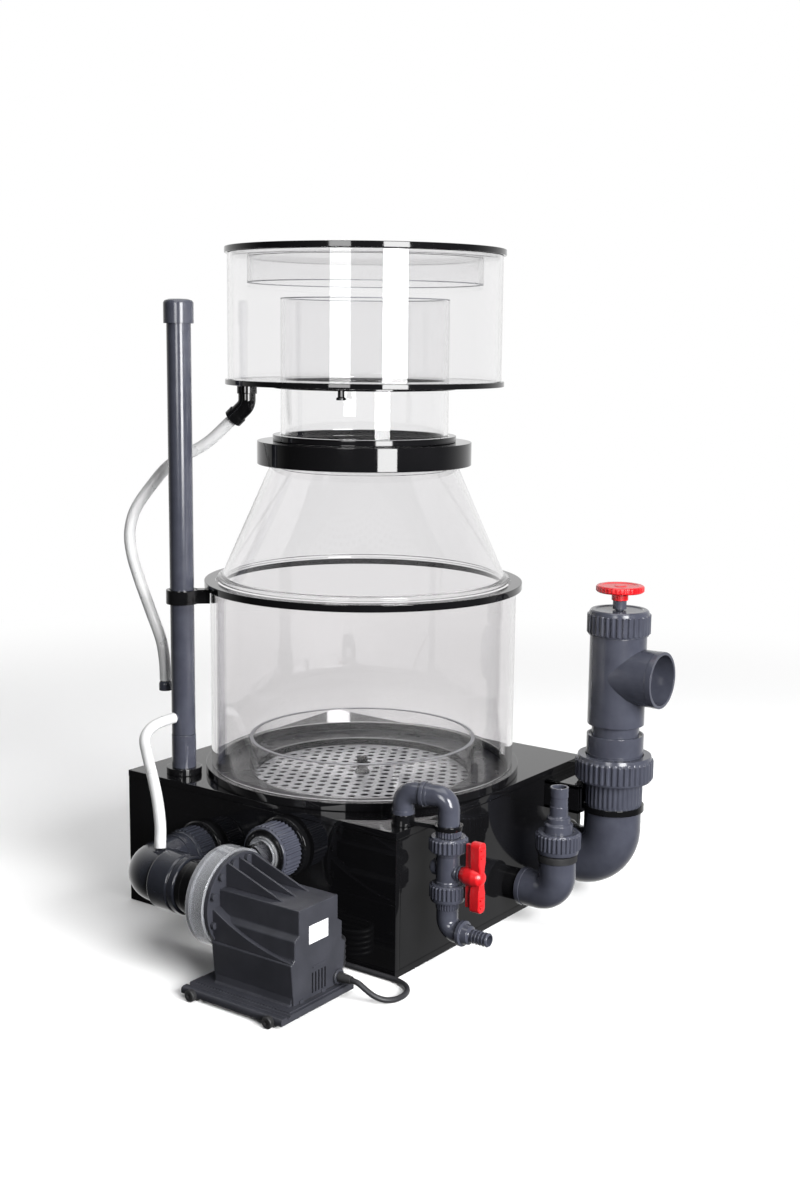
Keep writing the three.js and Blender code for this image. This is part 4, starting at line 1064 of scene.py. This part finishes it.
# ---------------------------------------------------------------- outlet line, tee and level gate
at_outlet = (outlet_x, outlet_y, 0)
piece("outlet_bend", [
    sweep(elbow_path((right + 8.3, outlet_y, outlet_z), (outlet_x, outlet_y, outlet_z),
        (outlet_x, outlet_y, 137), 46, 24), 37.5, 28, 96),
    pipe(38.6, 36, right + 8.3, right + 16, (0, outlet_y, outlet_z), "X", segments=96, ease=0.8),
    lathe([(28, 136), (37.2, 136), (37.2, 140, 1.1), (37.2, 168, 1.1), (38.4, 169.6), (43, 171),
        (43, 184), (28, 184)], at_outlet, "Z", ease=0.6, ribs=36),
], PVC, BODY, "outlet_elbow")
union_low, union_high, _ = place("outlet_nut")
piece("outlet_union", [
    ribbed_nut(51.6, union_low.z, union_high.z, 38.4, at_outlet, ribs=40, plain_low=3.5, plain_high=7.0,
        depth=2.2),
], PVC, "outlet_union", "outlet_nut")
piece("outlet_pipe", [
    lathe([(28, 184.3), (37, 184.3), (37, 205.6), (37.5, 206.4), (37.5, 232), (35, 232), (34, 229.5),
        (31.2, 229.5), (31.2, 262), (28, 262)], at_outlet, "Z", 96, 0.7),
], PVC, BODY, "outlet_tail")
tee_low, tee_high, _ = place("outlet_tee")
branch = (outlet_x, outlet_y, 312)
branch_end = tee_high.x - outlet_x
piece("tee", [
    pipe(37.2, 28, tee_low.z, tee_high.z, at_outlet, segments=96, ease=0.9),
    lathe([(28, 6), (36.9, 6), *lifted(branch_end, [(36.9, -9), (37.2, -8), (37.2, 0), (32.9, 0)]),
        (32.9, 34), (28, 34)], branch, "X", 96, 0.8),
], PVC, BODY, "outlet_tee")
nut_low, nut_high, _ = place("outlet_top_nut")
piece("tee_cap", [
    lathe([*lifted(nut_low.z, [(28.3, 0), (39.5, 0), (39.8, 2), (39.8, 3, 1.8)]), *lifted(nut_high.z,
        [(39.8, -6, 1.8), (39.8, -6), (38.4, -1.6), (36.4, 0), (31.5, 0), (30.5, -1.2), (5.7, -1.2),
        (5.7, -6), (28.3, -6)])], at_outlet, "Z", ease=0.6, ribs=34),
], PVC, BODY, "outlet_top_nut")
gate_low, gate_high, _ = place("outlet_gate")
piece("gate_plug", [
    lathe([(23.5, gate_low.z), (27.4, gate_low.z), (27.4, gate_high.z), (5.8, gate_high.z),
        (5.8, gate_high.z - 6), (23.5, gate_high.z - 6)], at_outlet, "Z", 72, 0.6),
], PVC, "gate", "outlet_gate")
stem_low, stem_high, _ = place("outlet_stem")
collar_z = nut_high.z + 0.4
thread = [(r, stem_low.z + 4 + 4 * k + dz) for k in range(15)
    for r, dz in ((4.1, 0), (5, 1.2), (5, 2.2), (4.1, 3.4))]
piece("gate_spindle", [
    lathe([(0, stem_low.z), (4.4, stem_low.z), *thread, (4.6, collar_z), (9, collar_z),
        (9, stem_high.z), (0, stem_high.z)], at_outlet, "Z", 48, 0.3, 1),
], PVC, "gate_screw", "outlet_stem")
knob_low, knob_high, _ = place("outlet_knob")
piece("gate_knob", [
    lathe([(0, knob_low.z), (10.8, knob_low.z), *lifted(knob_high.z, [(10.8, -9), (29.4, -9),
        (31, -7.4, 0.4), (31, -1.6, 0.4), (29.4, 0), (24, 0), (22.5, -1), (9, -1), (8, 0), (0, 0)])],
        at_outlet, "Z", ease=0.6, ribs=36),
], RED, "gate_screw", "outlet_knob")

# ---------------------------------------------------------------- recirculating pump
pump_y, pump_z = -315.5, 98      # the shaft
pump_at = (0, pump_y, pump_z)
volute_low, volute_high, _ = place("pump_volute")
piece("volute", [lathe([
    *lifted(volute_low.x, [(22, 0), (56.2, 0), (58.6, 1.2), (59.4, 3.4)]), (59.4, volute_high.x),
    (54, volute_high.x), (54, volute_low.x + 4.5), (22, volute_low.x + 4.5),
], pump_at, "X", 128, 0.9, 3)] + [
    pipe(59.4, 57.6, volute_low.x + 9, volute_low.x + 10.4, pump_at, "X", segments=128, ease=0.3),
], VOLUTE, BODY, "pump_volute")
impeller_parts = [
    rod(44, 40.5, 44, pump_at, "X"), rod(9, 36, 46, pump_at, "X", segments=48),
    rod(5, 45, 105, pump_at, "X", segments=32),
]
for k in range(6):
    turn = Matrix.Rotation(k * math.pi / 3, 4, "X")
    verts, faces = slab((36, 8, -1.5), (41, 43, 1.5), 0.4)
    impeller_parts.append(([turn @ v + Vector(pump_at) for v in verts], faces))
piece("impeller", impeller_parts, BLACK, "rotor", "pump_impeller")

flange_x, face_x, rear_x = 57.5, 62, 179.6
motor_y = pump_y + 1


def motor_section(widths):
    right_side = [(motor_y + w, z) for w, z in widths]
    return right_side + [(motor_y - w, z) for w, z in reversed(widths)]


section = motor_section([(34.5, 120.6), (34.5, 92), (42.2, 87), (42.2, 66), (45.2, 62.6), (48.5, 61.5),
    (43.5, 12.3)])
apron_x = rear_x - 0.7
apron = [(face_x - 1, 30), (apron_x, 30), (apron_x, 63)]
for k in range(1, 17):
    t = k / 16
    x = apron_x * (1 - t) ** 2 + 112 * 2 * t * (1 - t) + (face_x - 1) * t * t
    z = 63 * (1 - t) ** 2 + 70 * 2 * t * (1 - t) + 101 * t * t
    apron.append((x, z))
apron_verts, apron_faces = extruded(apron, "Y", motor_y - 47, motor_y + 47, 1.2, 2)
apron_verts = [Vector((v.x, motor_y + (v.y - motor_y) * (1 - max(0, 60 - v.z) * 0.0016), v.z))
    for v in apron_verts]
motor_parts = [
    lathe([(5.7, flange_x), (55.6, flange_x), (57, flange_x + 0.8), (57, face_x + 2), (54.6, face_x + 2),
           (54.6, face_x), (5.7, face_x)], pump_at, "X", 128, 0.5),
    extruded(section, "X", face_x - 1, rear_x, 1.4, 3),
    (apron_verts, apron_faces),
    extruded(motor_section([(44.2, 24), (46, 15), (50, 12.3)]), "X", face_x + 2, rear_x - 3, 0.8, 2),
]
for side in (-22, 0, 22):
    outline = [(face_x - 1, 118), (147, 118), (147, 120.4), (face_x - 1, 150)]
    motor_parts.append(extruded(outline, "Y", motor_y + side - 1.5, motor_y + side + 1.5, 0.5))
for angle in (20, 48, 76, 104, 132, 160, 200, 340):
    y, z = pump_y + 49.5 * math.cos(math.radians(angle)), pump_z + 49.5 * math.sin(math.radians(angle))
    motor_parts.append(rod(4.2, face_x - 0.5, face_x + 5, (0, y, z), "X", segments=24))
motor_parts.append(slab((rear_x - 1, motor_y - 11, 46.5), (rear_x + 0.9, motor_y + 11, 49.3), 0.7))
gland_y, gland_z = -280.3, 22.4
gland = lifted(rear_x, [(4.6, -1), (9, -1), (9, 2.4), (7.8, 3.2), (6.4, 3.2), (4.6, 1)])
motor_parts.append(lathe(gland, (0, gland_y, gland_z), "X", 48, 0.4))
for side in (-31, 8):
    motor_parts.append(slab((rear_x - 2, motor_y + side - 4, 12.3), (rear_x + 1.6, motor_y + side + 4, 17),
                            0.8))
piece("motor_housing", motor_parts, PUMP, BODY, "pump_motor")
# Painted shade: flat black slabs on the rear face stand for the dark inside of the vent slots.
piece("motor_vents", [
    slab((rear_x - 1.2, motor_y + 5.6 * i - 1.1, 18), (rear_x + 0.25, motor_y + 5.6 * i + 1.1, 42),
    0.2) for i in (-2, -1, 0, 1, 2)
], GASKET_AND_SHADE_BLACK, BODY, "pump_motor", slot="black_rubber")
piece("motor_seam", [
    slab((rear_x - 1.2, motor_y - 38, 12.6), (rear_x + 0.3, motor_y + 36, 13.8), 0.2),
], RUBBER, BODY, "pump_motor")
piece("motor_relief", [
    lathe([(0, rear_x), (6, rear_x), (5.8, rear_x + 6), (4.6, 199.7), (3.6, 199.7), (0, 199.7)],
        (0, gland_y, gland_z), "X", 48, 0.4),
], RUBBER, BODY, "pump_motor")
piece("rating_label", [
    slab((rear_x - 0.5, -332, 77), (rear_x + 0.35, -298, 98.4), 0.15),
], LABEL, BODY, "pump_motor")

deck_low, deck_high, _ = place("pump_base")
deck_front = [(0, 4), (0, 8.6), (1.2, 11), (3.6, 12), (9.5, 12), (11, 9), (15, 9), (16.6, 12)]
deck = [(deck_low.y + y, z) for y, z in deck_front] + [(deck_high.y - 4, 12), (deck_high.y, 9),
    (deck_high.y, 4)]
piece("pump_deck", [
    extruded(deck, "X", deck_low.x, deck_high.x, 0.8, 2),
    slab((deck_low.x - 3, deck_low.y + 17, 4), (deck_low.x + 6, deck_low.y + 40, 11), 1.6, 3),
    slab((deck_low.x + 8, deck_low.y + 19, 11), (deck_high.x - 4, deck_high.y - 5, 13.2), 1.0, 2),
], PUMP, BODY, "pump_base")
for side, node in ((59, "pump_foot_left"), (174, "pump_foot_right")):
    foot_low, foot_high, _ = place(node)
    piece(node + "_pad", [
        slab((side - 5, foot_low.y + 8, 0), (side + 5, foot_high.y, 3.7), 0.8),
        lathe(lifted(foot_low.y, [(2.6, 0), (5.8, 0), (7, 1), (7, 6), (5.8, 7), (0, 7), (0, 2.5),
            (2.6, 2.5)]), (side, 0, 7), "Y", 48, 0.5),
    ], RUBBER, BODY, node)

elbow_x = -95
tail_low = front - 9.8
# The suction bend, collar and union take the darker PVC copy: painted shade.
piece("suction_bend", [
    sweep(elbow_path((-58, pump_y, pump_z), (elbow_x, pump_y, pump_z), (elbow_x, -249, pump_z), 32, 24),
        31, 22, 96),
    lathe([(22, -59), (29, -59), (29, -56), (34, -56), (36, -53), (36, -25), (34, -22.3), (22, -22.3)],
        pump_at, "X", 96, 1.0, 3),
    pipe(25, 22, -250, tail_low, (elbow_x, 0, pump_z), "Y", segments=72),
    pipe(32, 30, -262, -249.2, (elbow_x, 0, pump_z), "Y", segments=96, ease=0.8),
    rod(9, pump_z + 22, pump_z + 32, (-69.5, pump_y + 4.2, 0), segments=48, ease=0.8),
], PVC_PAINTED_SHADE, BODY, "suction_elbow")
piece("suction_collar", [
    lathe([(30, -22), (34.6, -22), (35.6, -20.8), (35.6, -13.5), (34.2, -12.2), (30, -12.2)], pump_at,
        "X", 96, 0.8, 3),
], PVC_PAINTED_SHADE, BODY, "suction_sleeve")
piece("suction_joint", [
    lathe([(22, -22), (29.8, -22), (29.8, -12), (33, -12), (33, -4), (34.4, -3), (34.4, 12), (31, 14.5),
        (31, volute_low.x - 0.3), (22, volute_low.x - 0.3)], pump_at, "X", 96, 0.6),
], BLACK, BODY, "suction_sleeve", slot="black_rubber")
nut_low, nut_high, nut_mid = place("suction_nut")
piece("suction_union", [
    ribbed_nut(34, nut_low.y, nut_high.y, 25.8, (nut_mid.x, 0, nut_mid.z), "Y", ribs=34, plain_low=4.5,
        plain_high=3.0, depth=1.8),
], PVC_PAINTED_SHADE, "suction_union", "suction_nut")
nut_low, nut_high, nut_mid = place("discharge_nut")
at_discharge = (nut_mid.x, 0, nut_mid.z)
piece("discharge_union", [
    ribbed_nut(34.5, nut_low.y, nut_high.y, 24.2, at_discharge, "Y", ribs=36, plain_low=3.0,
        plain_high=2.0, depth=1.8),
], PVC, "discharge_union", "discharge_nut")
piece("discharge_face", [
    lathe(lifted(nut_low.y, [(23, -0.5), (25, -1.4), (27, -0.5), (29.5, -1.2), (31.2, 0.4), (31.2, 3),
        (23, 3)]), at_discharge, "Y", 96, 0.4),
], BLACK, "discharge_union", "discharge_nut")
piece("discharge_ring", [
    lathe([*lifted(nut_low.y, lip), (lip[-1][0], nut_high.y - 1), (lip[0][0], nut_high.y - 1)],
    at_discharge, "Y", 96, 0.3) for lip in ([(17.3, -4), (18.4, -4.8), (19.4, -4)], [(19.8, -2.6),
    (21.4, -3.2), (22.6, -2.2)])
], VOLUTE, "discharge_union", "discharge_nut")
piece("discharge_tube", [
    pipe(16.5, 13.5, -270, tail_low, at_discharge, "Y", segments=72),
], CLEAR, BODY, "discharge_pipe")
